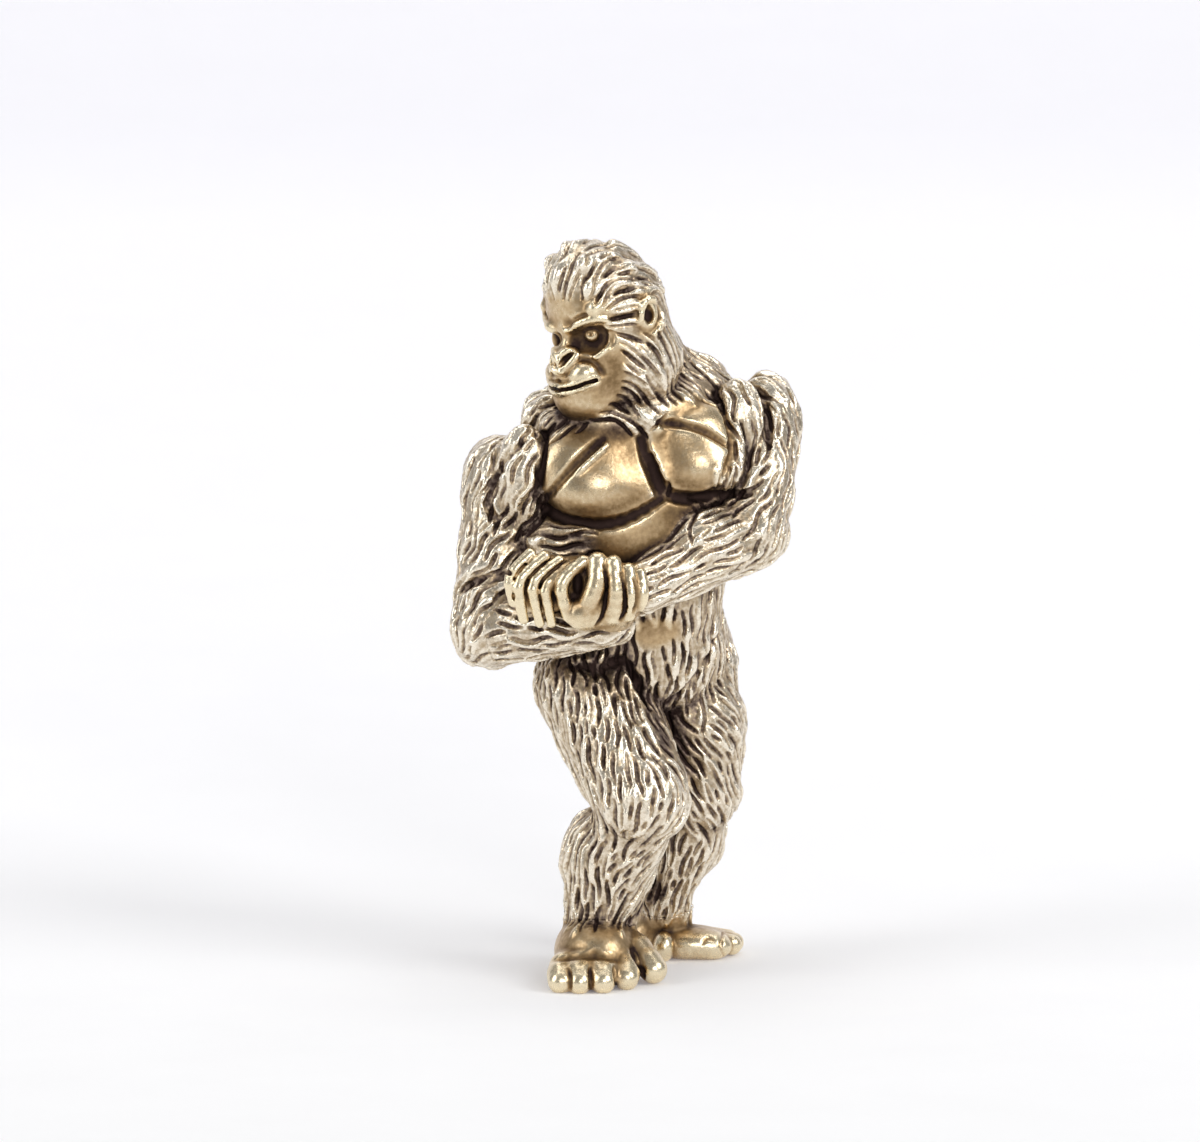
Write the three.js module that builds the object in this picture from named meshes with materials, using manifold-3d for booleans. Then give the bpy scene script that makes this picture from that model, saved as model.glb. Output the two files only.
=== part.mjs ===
// Standing gorilla ornament in brass, with folded arms and its head turned to its right.
// The figure is made as separate castings that meet at joint lines and locate on cast pegs.
// Millimetres, +Z up, the view that shows the chest looks along +Y, origin on the floor under the middle.

import * as THREE from 'three';
import { mergeVertices } from 'three/addons/utils/BufferGeometryUtils.js';
import Module from 'manifold-3d';

const wasm = await Module();
wasm.setup();

const at = (x, y, z) => new THREE.Vector3(x, y, z);

// A rounded mass: its middle and its half sizes across, front to back and up.
const lump = (centre, across, deep, tall) => ({ centre, radii: at(across, deep, tall) });

// Fits between the castings
const SEAM = 0.3;
const PEG_RADIUS = 1.1;
const PEG_CLEARANCE = 0.25;
const PEG_REACH = 2.4;
const PEG_ROOT = 2.0;
const HAND_PEG_ROOT = 0.9;
const PEG_SIDES = 10;

// Facets of the round forms
const LUMP_SIDES = 12;
const LUMP_RINGS = 8;
const LIMB_SIDES = 12;
const DIGIT_SIDES = 8;
const LOCK_SIDES = 6;
const CAP_STEPS = 3;

// How far the trunk and the head turn from the front view, positive towards +X, and how far the head
// leans to its right, in degrees
const BODY_TURN = 20;
const HEAD_TURN = -52;
const HEAD_ROLL = 5;

// Main sizes of the figure
const LEG_HEIGHT = 27.4;
const TRUNK_HEIGHT = 15.6;
const NECK_HEIGHT = 15.2;
const RIGHT_SHOULDER_REACH = 11.4;
const LEFT_SHOULDER_REACH = 10.9;
const RIGHT_ARM_DROP = 12.8;
const LEFT_ARM_DROP = 8.2;
const THIGH_DROP = 10.0;
const ANKLE_HEIGHT = 6.0;

// A place told by its steps from another one.
const from = (place, x, y, z) => place.clone().add(at(x, y, z));

// Middles of the hips, the chest and the skull, each carried by the one below
const HIPS = at(1.4, 2.4, LEG_HEIGHT);
const CHEST = from(HIPS, -0.6, -0.2, TRUNK_HEIGHT);
const SKULL = from(CHEST, -2.1, -3.7, NECK_HEIGHT);

// Joint centres of the limbs
const RIGHT_SHOULDER = from(CHEST, -RIGHT_SHOULDER_REACH, -3.8, 1.0);
const RIGHT_ELBOW = from(RIGHT_SHOULDER, -1.3, -3.0, -RIGHT_ARM_DROP);
const RIGHT_WRIST = from(CHEST, -2.4, -11.8, -10.4);
const LEFT_SHOULDER = from(CHEST, LEFT_SHOULDER_REACH, 0.8, 4.4);
const LEFT_ELBOW = from(LEFT_SHOULDER, -1.2, -4.6, -LEFT_ARM_DROP);
const LEFT_WRIST = from(CHEST, 0.6, -11.0, -7.6);
const RIGHT_HIP = from(HIPS, -3.8, -3.0, -1.0);
const RIGHT_KNEE = from(RIGHT_HIP, 3.6, -5.8, -THIGH_DROP);
const RIGHT_ANKLE = at(-2.2, -4.0, ANKLE_HEIGHT);
const LEFT_HIP = from(HIPS, 3.2, 1.2, -1.8);
const LEFT_KNEE = from(LEFT_HIP, 1.6, -1.4, -THIGH_DROP);
const LEFT_ANKLE = at(3.4, 3.8, ANKLE_HEIGHT - 0.6);

// Limb thickness
const SHOULDER_RADIUS = 3.4;
const ELBOW_RADIUS = 3.5;
const WRIST_RADIUS = 2.2;
const HIP_RADIUS = 6.0;
const LEFT_HIP_RADIUS = 5.0;
const KNEE_RADIUS = 4.3;
const LEFT_KNEE_RADIUS = 3.9;
const SHIN_RADIUS = 3.5;
const LEFT_SHIN_RADIUS = 2.9;
const ANKLE_RADIUS = 3.2;
const LEFT_ANKLE_RADIUS = 2.3;

// Trunk
const RIBCAGE = lump(CHEST, 10.0, 8.6, 10.0);
const HUMP = lump(from(CHEST, 0.8, 1.8, 6.4), 8.6, 6.4, 5.6);
const RIGHT_PECTORAL = lump(from(CHEST, -3.2, -6.2, 1.9), 5.9, 3.6, 4.8);
const LEFT_PECTORAL = lump(from(CHEST, 5.0, -4.5, 3.3), 4.8, 3.2, 4.4);
const BELLY = lump(HIPS.clone().lerp(CHEST, 0.4).add(at(0, -0.5, 0)), 7.2, 7.6, 9.0);
const PELVIS = lump(HIPS, 7.4, 7.0, 5.8);
const RIGHT_BUTTOCK = lump(from(HIPS, -3.0, 2.4, -1.4), 5.2, 5.0, 5.6);
const LEFT_BUTTOCK = lump(from(HIPS, 3.4, 3.6, -1.8), 4.8, 4.6, 5.4);

// Upper arms
const RIGHT_DELTOID = lump(from(RIGHT_SHOULDER, -0.5, 1.0, -1.0), 3.4, 4.2, 4.4);
const RIGHT_DELTOID_FRONT = lump(from(RIGHT_SHOULDER, 1.6, -2.6, 0.2), 2.6, 2.6, 4.9);
const LEFT_DELTOID = lump(from(LEFT_SHOULDER, 0.6, 1.0, 0.4), 3.0, 4.0, 4.6);
const LEFT_DELTOID_FRONT = lump(from(LEFT_SHOULDER, -2.0, -2.4, 0.8), 2.6, 2.6, 4.2);
const LEFT_BICEPS = lump(LEFT_SHOULDER.clone().lerp(LEFT_ELBOW, 0.5).add(at(0.4, -0.3, 0)), 2.8, 3.2, 3.8);

// Head, as steps forward, to the animal's left and up from the middle of the skull
const CRANIUM = lump(at(0.3, 0, 0.6), 4.7, 5.2, 5.0);
const CREST = lump(at(2.75, 0, 3.6), 3.3, 4.0, 3.1);
const FOREHEAD = lump(at(2.6, 0, 1.2), 3.3, 2.9, 2.4);
const FACE = lump(at(2.2, 0, -1.4), 3.6, 3.0, 3.6);
const BROW_MIDDLE = at(4.8, 0, -0.3);
const BROW_END = at(3.7, 3.0, 0.5);
const BROW_RADIUS = 0.8;
const SOCKET = lump(at(4.7, 2.1, -1.3), 1.5, 0.9, 1.1);
const NOSE = lump(at(4.9, 0, -2.9), 1.6, 1.4, 1.2);
const MUZZLE = lump(at(3.45, 0, -4.9), 3.2, 3.2, 3.0);
const CHIN = lump(at(3.1, 0, -6.3), 2.9, 2.9, 2.3);
const JAW = lump(at(0.6, 0, -3.6), 4.3, 4.0, 4.0);
const WHISKERS = lump(at(-1.6, 2.6, -3.8), 2.4, 3.2, 4.2);
const EAR = lump(at(-0.3, 4.6, 0.6), 0.8, 1.3, 1.8);
const NAPE_TOP_RADIUS = 3.8;
const NAPE_BASE_RADIUS = 4.8;
const NAPE_TOP = from(SKULL, 1.1, 2.3, -1.2);
const NAPE_BASE = from(CHEST, 0.8, 1.2, 8.4);

// Locks of hair that stand out from the skin, in staggered rows down the back and over the crown
const LOCK_RADIUS = 0.75;
const LOCK_TIP_RADIUS = 0.5;
const LOCK_SINK = 0.2;
const BACK_LOCK_LENGTH = 4.2;
const BACK_LOCK_STEP = 27;
const BACK_ROW_DROP = 5.0;
const BACK_ROW_TOP = CHEST.z + 7.4;
const BACK_ROW_SPREADS = [60, 70, 75, 95, 95];
const CROWN_LOCK_STEP = 26;
const CROWN_SPREAD = 80;
const CROWN_ROWS = [[4.4, 1.2], [0.4, -2.8]];
const CROWN_HEIGHT = 0.6;

// Legs
const RIGHT_CALF = lump(RIGHT_ANKLE.clone().lerp(RIGHT_KNEE, 0.4).add(at(-1.4, 1.8, 0)), 3.7, 3.9, 4.8);
const LEFT_CALF = lump(LEFT_ANKLE.clone().lerp(LEFT_KNEE, 0.58).add(at(0.5, 1.1, 0)), 3.2, 3.2, 4.2);
const LEFT_THIGH_SWELL = lump(LEFT_HIP.clone().lerp(LEFT_KNEE, 0.48).add(at(0.8, 0, 0)), 4.2, 4.6, 5.0);

// Hands: the left one lies over the right forearm, the right one is closed around the left wrist
const FINGERS = 4;
const LEFT_PALM = lump(from(CHEST, -5.2, -12.6, -6.8), 3.0, 1.7, 2.4);
const FINGER_RADIUS = 0.62;
const FINGER_PITCH = 1.02;
const FINGER_RISE = 0.3;
const FINGER_BASE = from(CHEST, -5.9, -13.2, -5.2);
const FINGER_KNUCKLE = from(CHEST, -7.9, -14.0, -6.9);
const FINGER_TIP = from(CHEST, -7.7, -14.0, -10.0);
const FIST_PALM = lump(from(CHEST, -2.0, -14.0, -9.2), 2.8, 1.7, 2.2);
const FIST_RADIUS = 0.82;
const FIST_PITCH = 1.34;
const FIST_RECEDE = 0.2;
const FIST_TOP = from(CHEST, -3.6, -14.2, -5.6);
const FIST_FOOT = from(CHEST, -3.5, -14.2, -9.6);
const THUMB_HOLE = 1.0;
const THUMB_RADIUS = 0.6;

// Feet, with the four small toes in a slanted row and the great toe set apart like a thumb
const TOE_RADIUS = 1.05;
const GREAT_TOE_RADIUS = 1.25;
const TOES = 4;
const RIGHT_INSTEP = lump(at(-2.6, -5.2, 2.4), 3.8, 4.8, 3.4);
const RIGHT_HEEL = lump(at(-3.0, -0.8, 1.8), 2.6, 2.6, 2.8);
const RIGHT_TOE_FIRST = at(-5.6, -11.2, 0.85);
const RIGHT_TOE_LAST = at(0.1, -8.8, 0.85);
const RIGHT_TOE_ROOT_FIRST = at(-4.8, -6.6, 2.2);
const RIGHT_TOE_ROOT_LAST = at(-0.6, -5.4, 2.2);
const RIGHT_GREAT_TOE_ROOT = at(0.2, -5.4, 3.0);
const RIGHT_GREAT_TOE_TIP = at(2.3, -7.5, 1.2);
const LEFT_INSTEP = lump(at(4.9, 4.8, 1.5), 4.4, 2.6, 2.2);
const LEFT_HEEL = lump(at(2.2, 5.2, 1.4), 2.4, 2.2, 2.2);
const LEFT_TOE_FIRST = at(9.2, 7.2, 0.85);
const LEFT_TOE_LAST = at(9.3, 3.8, 0.85);
const LEFT_TOE_ROOT_FIRST = at(5.6, 6.2, 1.5);
const LEFT_TOE_ROOT_LAST = at(5.6, 3.8, 1.5);
const LEFT_GREAT_TOE_ROOT = at(3.0, 3.4, 1.8);
const LEFT_GREAT_TOE_TIP = at(3.8, 1.2, 1.0);

// The middle of the posed figure on the floor, which is set over the origin
const FIGURE_MIDDLE = at(0.03, -1.14, 0);

const BRASS = new THREE.MeshStandardMaterial({ color: 0xb39a5c, roughness: 0.34, metalness: 1 });

// A closed three.js geometry as a solid for joining and cutting.
function solidOf(geometry) {
  geometry.deleteAttribute('normal');
  geometry.deleteAttribute('uv');
  const merged = mergeVertices(geometry);
  return new wasm.Manifold(new wasm.Mesh({
    numProp: 3,
    vertProperties: merged.getAttribute('position').array,
    triVerts: new Uint32Array(merged.index.array),
  }));
}

function meshOf(name, solid) {
  const { vertProperties, triVerts } = solid.getMesh();
  const geometry = new THREE.BufferGeometry();
  geometry.setAttribute('position', new THREE.BufferAttribute(new Float32Array(vertProperties), 3));
  geometry.setIndex(new THREE.BufferAttribute(new Uint32Array(triVerts), 1));
  geometry.translate(-FIGURE_MIDDLE.x, -FIGURE_MIDDLE.y, 0);
  geometry.computeVertexNormals();
  const mesh = new THREE.Mesh(geometry, BRASS);
  mesh.name = name;
  return mesh;
}

const join = (solids) => solids.reduce((whole, next) => whole.add(next));

// What is left of a form after its neighbours, each grown by the joint gap, are cut away.
function fitted(form, ...neighbours) {
  const left = neighbours.reduce((rest, neighbour) => rest.subtract(neighbour(SEAM)), form());
  return left.decompose().reduce((a, b) => (a.volume() > b.volume() ? a : b));
}

// An egg-shaped mass leaned to one side and turned about the vertical.
function swell({ centre, radii }, turn, grow, roll = 0) {
  const geometry = new THREE.SphereGeometry(1, LUMP_SIDES, LUMP_RINGS);
  geometry.rotateX(Math.PI / 2);
  geometry.scale(radii.x + grow, radii.y + grow, radii.z + grow);
  geometry.rotateY(THREE.MathUtils.degToRad(-roll));
  geometry.rotateZ(THREE.MathUtils.degToRad(turn));
  geometry.translate(centre.x, centre.y, centre.z);
  return solidOf(geometry);
}

// A tapered rod with round ends between two points.
function limb(from, to, fromRadius, toRadius, grow, sides = LIMB_SIDES) {
  const length = from.distanceTo(to);
  const profile = [];
  for (let step = 0; step <= CAP_STEPS; step += 1) {
    const angle = (step / CAP_STEPS) * (Math.PI / 2);
    const r = fromRadius + grow;
    profile.push(new THREE.Vector2(r * Math.sin(angle), -r * Math.cos(angle)));
  }
  for (let step = 0; step <= CAP_STEPS; step += 1) {
    const angle = (step / CAP_STEPS) * (Math.PI / 2);
    const r = toRadius + grow;
    profile.push(new THREE.Vector2(r * Math.cos(angle), length + r * Math.sin(angle)));
  }
  profile[0].x = 0;
  profile[profile.length - 1].x = 0;
  const geometry = new THREE.LatheGeometry(profile, sides);
  const along = to.clone().sub(from).normalize();
  geometry.applyQuaternion(new THREE.Quaternion().setFromUnitVectors(at(0, 1, 0), along));
  geometry.translate(from.x, from.y, from.z);
  return solidOf(geometry);
}

// A digit of one or more bones with the same radius.
const digit = (points, radius, grow) => join(points.slice(1).map(
  (point, i) => limb(points[i], point, radius, radius, grow, DIGIT_SIDES)));

// The turn and the lean of the head.
const headTurn = new THREE.Quaternion()
  .setFromAxisAngle(at(0, 0, 1), THREE.MathUtils.degToRad(HEAD_TURN))
  .multiply(new THREE.Quaternion().setFromAxisAngle(at(0, 1, 0), THREE.MathUtils.degToRad(-HEAD_ROLL)));

// Steps forward, to the left and up on the head, as a step across, back and up of an unturned figure.
const across = (step) => at(step.y, -step.x, step.z);

// A point of the head in the figure's frame.
const onHead = (step) => across(step).applyQuaternion(headTurn).add(SKULL);

const headSwell = ({ centre, radii }, grow) => swell(
  { centre: onHead(centre), radii }, HEAD_TURN, grow, HEAD_ROLL);

const mirrored = ({ centre, radii }) => ({ centre: at(centre.x, -centre.y, centre.z), radii });

// Where the line between two points leaves an egg-shaped mass.
function wayOut({ centre, radii }, turn, from, to) {
  const flat = (point) => point.clone().sub(centre)
    .applyAxisAngle(at(0, 0, 1), THREE.MathUtils.degToRad(-turn)).divide(radii);
  const start = flat(from);
  const run = flat(to).sub(start);
  const a = run.lengthSq();
  const b = start.dot(run);
  const c = start.lengthSq() - 1;
  return from.clone().lerp(to, (Math.sqrt(Math.max(b * b - a * c, 0)) - b) / a);
}

// A place just under the skin of several masses, out from a point along a direction.
function underSkin(masses, turn, heart, way) {
  const edge = heart.clone().add(way);
  const reach = masses.map((mass) => wayOut(mass, turn, heart, edge).sub(heart).dot(way));
  return heart.clone().addScaledVector(way, Math.max(...reach) - LOCK_SINK);
}

// Angles of the locks in one row, shifted by half a step in every other row.
function rowAngles(row, step, spread) {
  const first = -Math.floor(spread / step) * step + (row % 2) * (step / 2);
  const count = Math.floor((spread - first) / step) + 1;
  return Array.from({ length: count }, (_, i) => first + i * step);
}

// A lock of hair that thins towards its tip.
const lock = (root, tip, grow) => limb(root, tip, LOCK_RADIUS, LOCK_TIP_RADIUS, grow, LOCK_SIDES);

const TRUNK = [RIBCAGE, HUMP, BELLY, PELVIS, RIGHT_BUTTOCK, LEFT_BUTTOCK];

// A place on the trunk at a height and an angle from straight behind.
function onBack(height, angle) {
  const heart = HIPS.clone().lerp(CHEST, (height - HIPS.z) / TRUNK_HEIGHT);
  const way = at(0, 1, 0).applyAxisAngle(at(0, 0, 1), THREE.MathUtils.degToRad(BODY_TURN + angle));
  return underSkin(TRUNK, BODY_TURN, heart, way);
}

function backLocks(grow) {
  return BACK_ROW_SPREADS.flatMap((spread, row) => {
    const top = BACK_ROW_TOP - row * BACK_ROW_DROP;
    return rowAngles(row, BACK_LOCK_STEP, spread).map(
      (angle) => lock(onBack(top, angle), onBack(top - BACK_LOCK_LENGTH, angle), grow));
  });
}

// A place on the crown at a step forward and an angle from straight up.
function onCrown(forward, angle) {
  const masses = [CRANIUM, CREST].map(({ centre, radii }) => ({ centre: across(centre), radii }));
  const way = at(0, 0, 1).applyAxisAngle(at(0, 1, 0), THREE.MathUtils.degToRad(angle));
  const place = underSkin(masses, 0, across(at(forward, 0, CROWN_HEIGHT)), way);
  return place.applyQuaternion(headTurn).add(SKULL);
}

function crownLocks(grow) {
  return CROWN_ROWS.flatMap(([start, end], row) => rowAngles(row, CROWN_LOCK_STEP, CROWN_SPREAD).map(
    (angle) => lock(onCrown(start, angle), onCrown(end, angle), grow)));
}

function torsoForm(grow = 0) {
  const masses = [...TRUNK, RIGHT_PECTORAL, LEFT_PECTORAL].map((mass) => swell(mass, BODY_TURN, grow));
  return join([...masses, ...backLocks(grow)]);
}

function headForm(grow = 0) {
  const masses = [CRANIUM, CREST, FOREHEAD, FACE, NOSE, MUZZLE, CHIN, JAW, WHISKERS, mirrored(WHISKERS)];
  const sockets = join([SOCKET, mirrored(SOCKET)].map((mass) => headSwell(mass, -grow)));
  const brow = (end) => limb(onHead(BROW_MIDDLE), onHead(end), BROW_RADIUS, BROW_RADIUS, grow, DIGIT_SIDES);
  const skull = join(masses.map((mass) => headSwell(mass, grow))).subtract(sockets);
  return join([
    skull,
    brow(BROW_END),
    brow(at(BROW_END.x, -BROW_END.y, BROW_END.z)),
    ...[EAR, mirrored(EAR)].map((mass) => headSwell(mass, grow)),
    limb(NAPE_TOP, NAPE_BASE, NAPE_TOP_RADIUS, NAPE_BASE_RADIUS, grow),
    ...crownLocks(grow),
  ]);
}

const rightUpperArmForm = (grow = 0) => join([
  swell(RIGHT_DELTOID, BODY_TURN, grow),
  swell(RIGHT_DELTOID_FRONT, BODY_TURN, grow),
  limb(RIGHT_SHOULDER, RIGHT_ELBOW, SHOULDER_RADIUS, ELBOW_RADIUS, grow),
]);

const leftUpperArmForm = (grow = 0) => join([
  swell(LEFT_DELTOID, BODY_TURN, grow),
  swell(LEFT_DELTOID_FRONT, BODY_TURN, grow),
  swell(LEFT_BICEPS, BODY_TURN, grow),
  limb(LEFT_SHOULDER, LEFT_ELBOW, SHOULDER_RADIUS, ELBOW_RADIUS, grow),
]);

const rightForearmForm = (grow = 0) => limb(RIGHT_ELBOW, RIGHT_WRIST, ELBOW_RADIUS, WRIST_RADIUS, grow);
const leftForearmForm = (grow = 0) => limb(LEFT_ELBOW, LEFT_WRIST, ELBOW_RADIUS, WRIST_RADIUS, grow);

// Four fingers that bend at the knuckle, laid over the right forearm.
function leftHandForm(grow = 0) {
  const fingers = Array.from({ length: FINGERS }, (_, i) => {
    const step = at(-FINGER_PITCH * i, 0, FINGER_RISE * i);
    const bones = [FINGER_BASE, FINGER_KNUCKLE, FINGER_TIP].map((place) => place.clone().add(step));
    return digit(bones, FINGER_RADIUS, grow);
  });
  return join([
    swell(LEFT_PALM, 0, grow),
    limb(LEFT_WRIST, LEFT_PALM.centre, WRIST_RADIUS, LEFT_PALM.radii.y, grow),
    ...fingers,
  ]);
}

// A fist: four upright fingers side by side, and the thumb bowed around a small hole.
function rightHandForm(grow = 0) {
  const fingers = Array.from({ length: FINGERS }, (_, i) => {
    const step = at(FIST_PITCH * i, FIST_RECEDE * i, 0);
    return digit([FIST_TOP, FIST_FOOT].map((place) => place.clone().add(step)), FIST_RADIUS, grow);
  });
  const aside = at(-(FIST_RADIUS + THUMB_HOLE + THUMB_RADIUS), 0, 0);
  const bow = [0.25, 0.7].map((share) => FIST_FOOT.clone().lerp(FIST_TOP, share).add(aside));
  return join([
    swell(FIST_PALM, 0, grow),
    digit([FIST_FOOT, ...bow, FIST_TOP], THUMB_RADIUS, grow),
    ...fingers,
  ]);
}

const rightThighForm = (grow = 0) => limb(RIGHT_HIP, RIGHT_KNEE, HIP_RADIUS, KNEE_RADIUS, grow);
const leftThighForm = (grow = 0) => join([
  limb(LEFT_HIP, LEFT_KNEE, LEFT_HIP_RADIUS, LEFT_KNEE_RADIUS, grow),
  swell(LEFT_THIGH_SWELL, BODY_TURN, grow),
]);

const rightShinForm = (grow = 0) => join([
  limb(RIGHT_KNEE, RIGHT_ANKLE, SHIN_RADIUS, ANKLE_RADIUS, grow),
  swell(RIGHT_CALF, BODY_TURN, grow),
]);
const leftShinForm = (grow = 0) => join([
  limb(LEFT_KNEE, LEFT_ANKLE, LEFT_SHIN_RADIUS, LEFT_ANKLE_RADIUS, grow),
  swell(LEFT_CALF, BODY_TURN, grow),
]);

// Everything under the floor, to cut a foot flat.
function floorBlock() {
  const span = 2 * LEG_HEIGHT;
  const geometry = new THREE.BoxGeometry(span, span, span);
  geometry.translate(0, 0, -span / 2);
  return solidOf(geometry);
}

function footForm(masses, roots, tips, greatToe, turn, grow) {
  const toes = Array.from({ length: TOES }, (_, i) => {
    const share = i / (TOES - 1);
    const root = roots[0].clone().lerp(roots[1], share);
    const tip = tips[0].clone().lerp(tips[1], share);
    return digit([root, tip], TOE_RADIUS, grow);
  });
  const sole = masses.map((mass) => swell(mass, turn, grow));
  const whole = join([...sole, ...toes, digit(greatToe, GREAT_TOE_RADIUS, grow)]);
  return whole.subtract(floorBlock());
}

const rightFootForm = (grow = 0) => footForm([RIGHT_INSTEP, RIGHT_HEEL],
  [RIGHT_TOE_ROOT_FIRST, RIGHT_TOE_ROOT_LAST], [RIGHT_TOE_FIRST, RIGHT_TOE_LAST],
  [RIGHT_GREAT_TOE_ROOT, RIGHT_GREAT_TOE_TIP], BODY_TURN, grow);
const leftFootForm = (grow = 0) => footForm([LEFT_INSTEP, LEFT_HEEL],
  [LEFT_TOE_ROOT_FIRST, LEFT_TOE_ROOT_LAST], [LEFT_TOE_FIRST, LEFT_TOE_LAST],
  [LEFT_GREAT_TOE_ROOT, LEFT_GREAT_TOE_TIP], 0, grow);

const castings = {
  torso: torsoForm(),
  head: fitted(headForm, torsoForm),
  right_upper_arm: fitted(rightUpperArmForm, torsoForm, headForm),
  left_upper_arm: fitted(leftUpperArmForm, torsoForm, headForm),
  right_forearm: fitted(rightForearmForm, torsoForm, rightUpperArmForm),
  left_forearm: fitted(leftForearmForm, torsoForm, leftUpperArmForm, rightForearmForm),
  left_hand: fitted(leftHandForm, torsoForm, rightForearmForm, leftForearmForm, rightUpperArmForm),
  right_hand: fitted(rightHandForm, torsoForm, rightForearmForm, leftForearmForm, leftHandForm),
  right_thigh: fitted(rightThighForm, torsoForm, rightForearmForm, rightHandForm),
  left_thigh: fitted(leftThighForm, torsoForm, rightThighForm),
  right_shin: fitted(rightShinForm, rightThighForm, leftThighForm),
  left_shin: fitted(leftShinForm, leftThighForm, rightThighForm, rightShinForm),
  right_foot: fitted(rightFootForm, rightShinForm, leftShinForm),
  left_foot: fitted(leftFootForm, leftShinForm, rightShinForm, rightFootForm),
};

// The point where a limb meets the round end of the limb it hangs on.
const onEnd = (joint, towards, radius) => joint.clone()
  .addScaledVector(towards.clone().sub(joint).normalize(), radius);

// A cast peg of one piece stands in a socket of the piece it is mounted on.
function pegged(piece, host, seat, into, rooted = PEG_ROOT) {
  const along = into.clone().sub(seat).normalize();
  const root = seat.clone().addScaledVector(along, -rooted);
  const rod = (reach, radius) => {
    const geometry = new THREE.CylinderGeometry(radius, radius, rooted + reach, PEG_SIDES);
    geometry.translate(0, (rooted + reach) / 2, 0);
    geometry.applyQuaternion(new THREE.Quaternion().setFromUnitVectors(at(0, 1, 0), along));
    geometry.translate(root.x, root.y, root.z);
    return solidOf(geometry);
  };
  castings[host] = castings[host].subtract(rod(PEG_REACH + PEG_CLEARANCE, PEG_RADIUS + PEG_CLEARANCE));
  castings[piece] = castings[piece].add(rod(PEG_REACH, PEG_RADIUS));
}

pegged('head', 'torso', wayOut(HUMP, BODY_TURN, HUMP.centre, SKULL), HUMP.centre);
const { centre: heart } = RIBCAGE;
pegged('right_upper_arm', 'torso', wayOut(RIBCAGE, BODY_TURN, heart, RIGHT_SHOULDER), heart);
pegged('left_upper_arm', 'torso', wayOut(RIBCAGE, BODY_TURN, heart, LEFT_SHOULDER), heart);
pegged('right_forearm', 'right_upper_arm', onEnd(RIGHT_ELBOW, RIGHT_WRIST, ELBOW_RADIUS), RIGHT_ELBOW);
pegged('left_forearm', 'left_upper_arm', onEnd(LEFT_ELBOW, LEFT_WRIST, ELBOW_RADIUS), LEFT_ELBOW);
pegged('right_hand', 'right_forearm', onEnd(RIGHT_WRIST, FIST_PALM.centre, WRIST_RADIUS), RIGHT_WRIST,
  HAND_PEG_ROOT);
pegged('left_hand', 'left_forearm', onEnd(LEFT_WRIST, LEFT_PALM.centre, WRIST_RADIUS), LEFT_WRIST);
pegged('right_thigh', 'torso', wayOut(PELVIS, BODY_TURN, RIGHT_HIP, RIGHT_KNEE), RIGHT_HIP);
pegged('left_thigh', 'torso', wayOut(PELVIS, BODY_TURN, LEFT_HIP, LEFT_KNEE), LEFT_HIP);
pegged('right_shin', 'right_thigh', onEnd(RIGHT_KNEE, RIGHT_ANKLE, KNEE_RADIUS), RIGHT_KNEE);
pegged('left_shin', 'left_thigh', onEnd(LEFT_KNEE, LEFT_ANKLE, LEFT_KNEE_RADIUS), LEFT_KNEE);
pegged('right_foot', 'right_shin', onEnd(RIGHT_ANKLE, RIGHT_INSTEP.centre, ANKLE_RADIUS), RIGHT_ANKLE);
pegged('left_foot', 'left_shin', onEnd(LEFT_ANKLE, LEFT_INSTEP.centre, LEFT_ANKLE_RADIUS), LEFT_ANKLE);

const figure = new THREE.Group();
figure.name = 'gorilla_figurine';
for (const [name, casting] of Object.entries(castings)) figure.add(meshOf(name, casting));

export default figure;
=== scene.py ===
import math
from collections import namedtuple
import bpy
import numpy as np
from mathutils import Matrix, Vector


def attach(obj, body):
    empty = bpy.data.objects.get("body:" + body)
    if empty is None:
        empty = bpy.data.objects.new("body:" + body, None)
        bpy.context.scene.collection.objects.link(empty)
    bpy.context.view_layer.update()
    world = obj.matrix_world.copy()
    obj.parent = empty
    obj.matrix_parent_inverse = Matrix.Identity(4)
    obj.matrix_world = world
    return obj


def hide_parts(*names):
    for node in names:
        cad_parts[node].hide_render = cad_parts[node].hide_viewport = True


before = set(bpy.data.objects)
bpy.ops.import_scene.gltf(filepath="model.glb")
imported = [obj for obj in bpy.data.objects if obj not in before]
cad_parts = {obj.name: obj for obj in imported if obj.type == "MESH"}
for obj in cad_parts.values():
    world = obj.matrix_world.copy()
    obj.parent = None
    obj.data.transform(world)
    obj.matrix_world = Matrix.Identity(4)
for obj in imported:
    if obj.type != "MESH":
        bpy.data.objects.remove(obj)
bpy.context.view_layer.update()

# Lengths here are millimetres, as on the wax model: x to the viewer's right, y away from the
# viewer, z up. The animal's right side is on the viewer's left. FIGURE_MIDDLE is where the frame has
# its origin.
MM = 0.001
FIGURE_MIDDLE = (0.03, -1.14, 0.0)

# The block of clay and the size of its grain. Empty points start at FAR from the surface. A casting
# is modelled with PIECE_MARGIN of room around it, takes the points outside earlier ones where it is
# nearer by SEAM_KEEP, and runs into its neighbours over JOINT_BLEND.
CLAY_LOW = (-16.6, -14.4, -0.9)
CLAY_HIGH = (16.6, 12.4, 66.6)
CLAY_GRAIN = 0.125
FAR = 4.0
PIECE_MARGIN = 1.3
SEAM_KEEP = 0.05
JOINT_BLEND = 0.5

# How the clay is worked and read: the room around a tool, the step of a slope and how far short of
# the last point reading stops (both in grains), the farthest move of a place in one round of settling,
# the rounds of that, and how far a line of sight runs to each side of the figure's middle.
TOOL_MARGIN = 0.5
SLOPE_STEP = 1.2
READ_STOP = 1.001
SETTLE_MOVE = 0.6
SETTLE_ROUNDS = 8
SIGHT_REACH = 24.0

# Small numbers that keep a division from failing.
TINY = 1e-6
TINIEST = 1e-9

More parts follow.
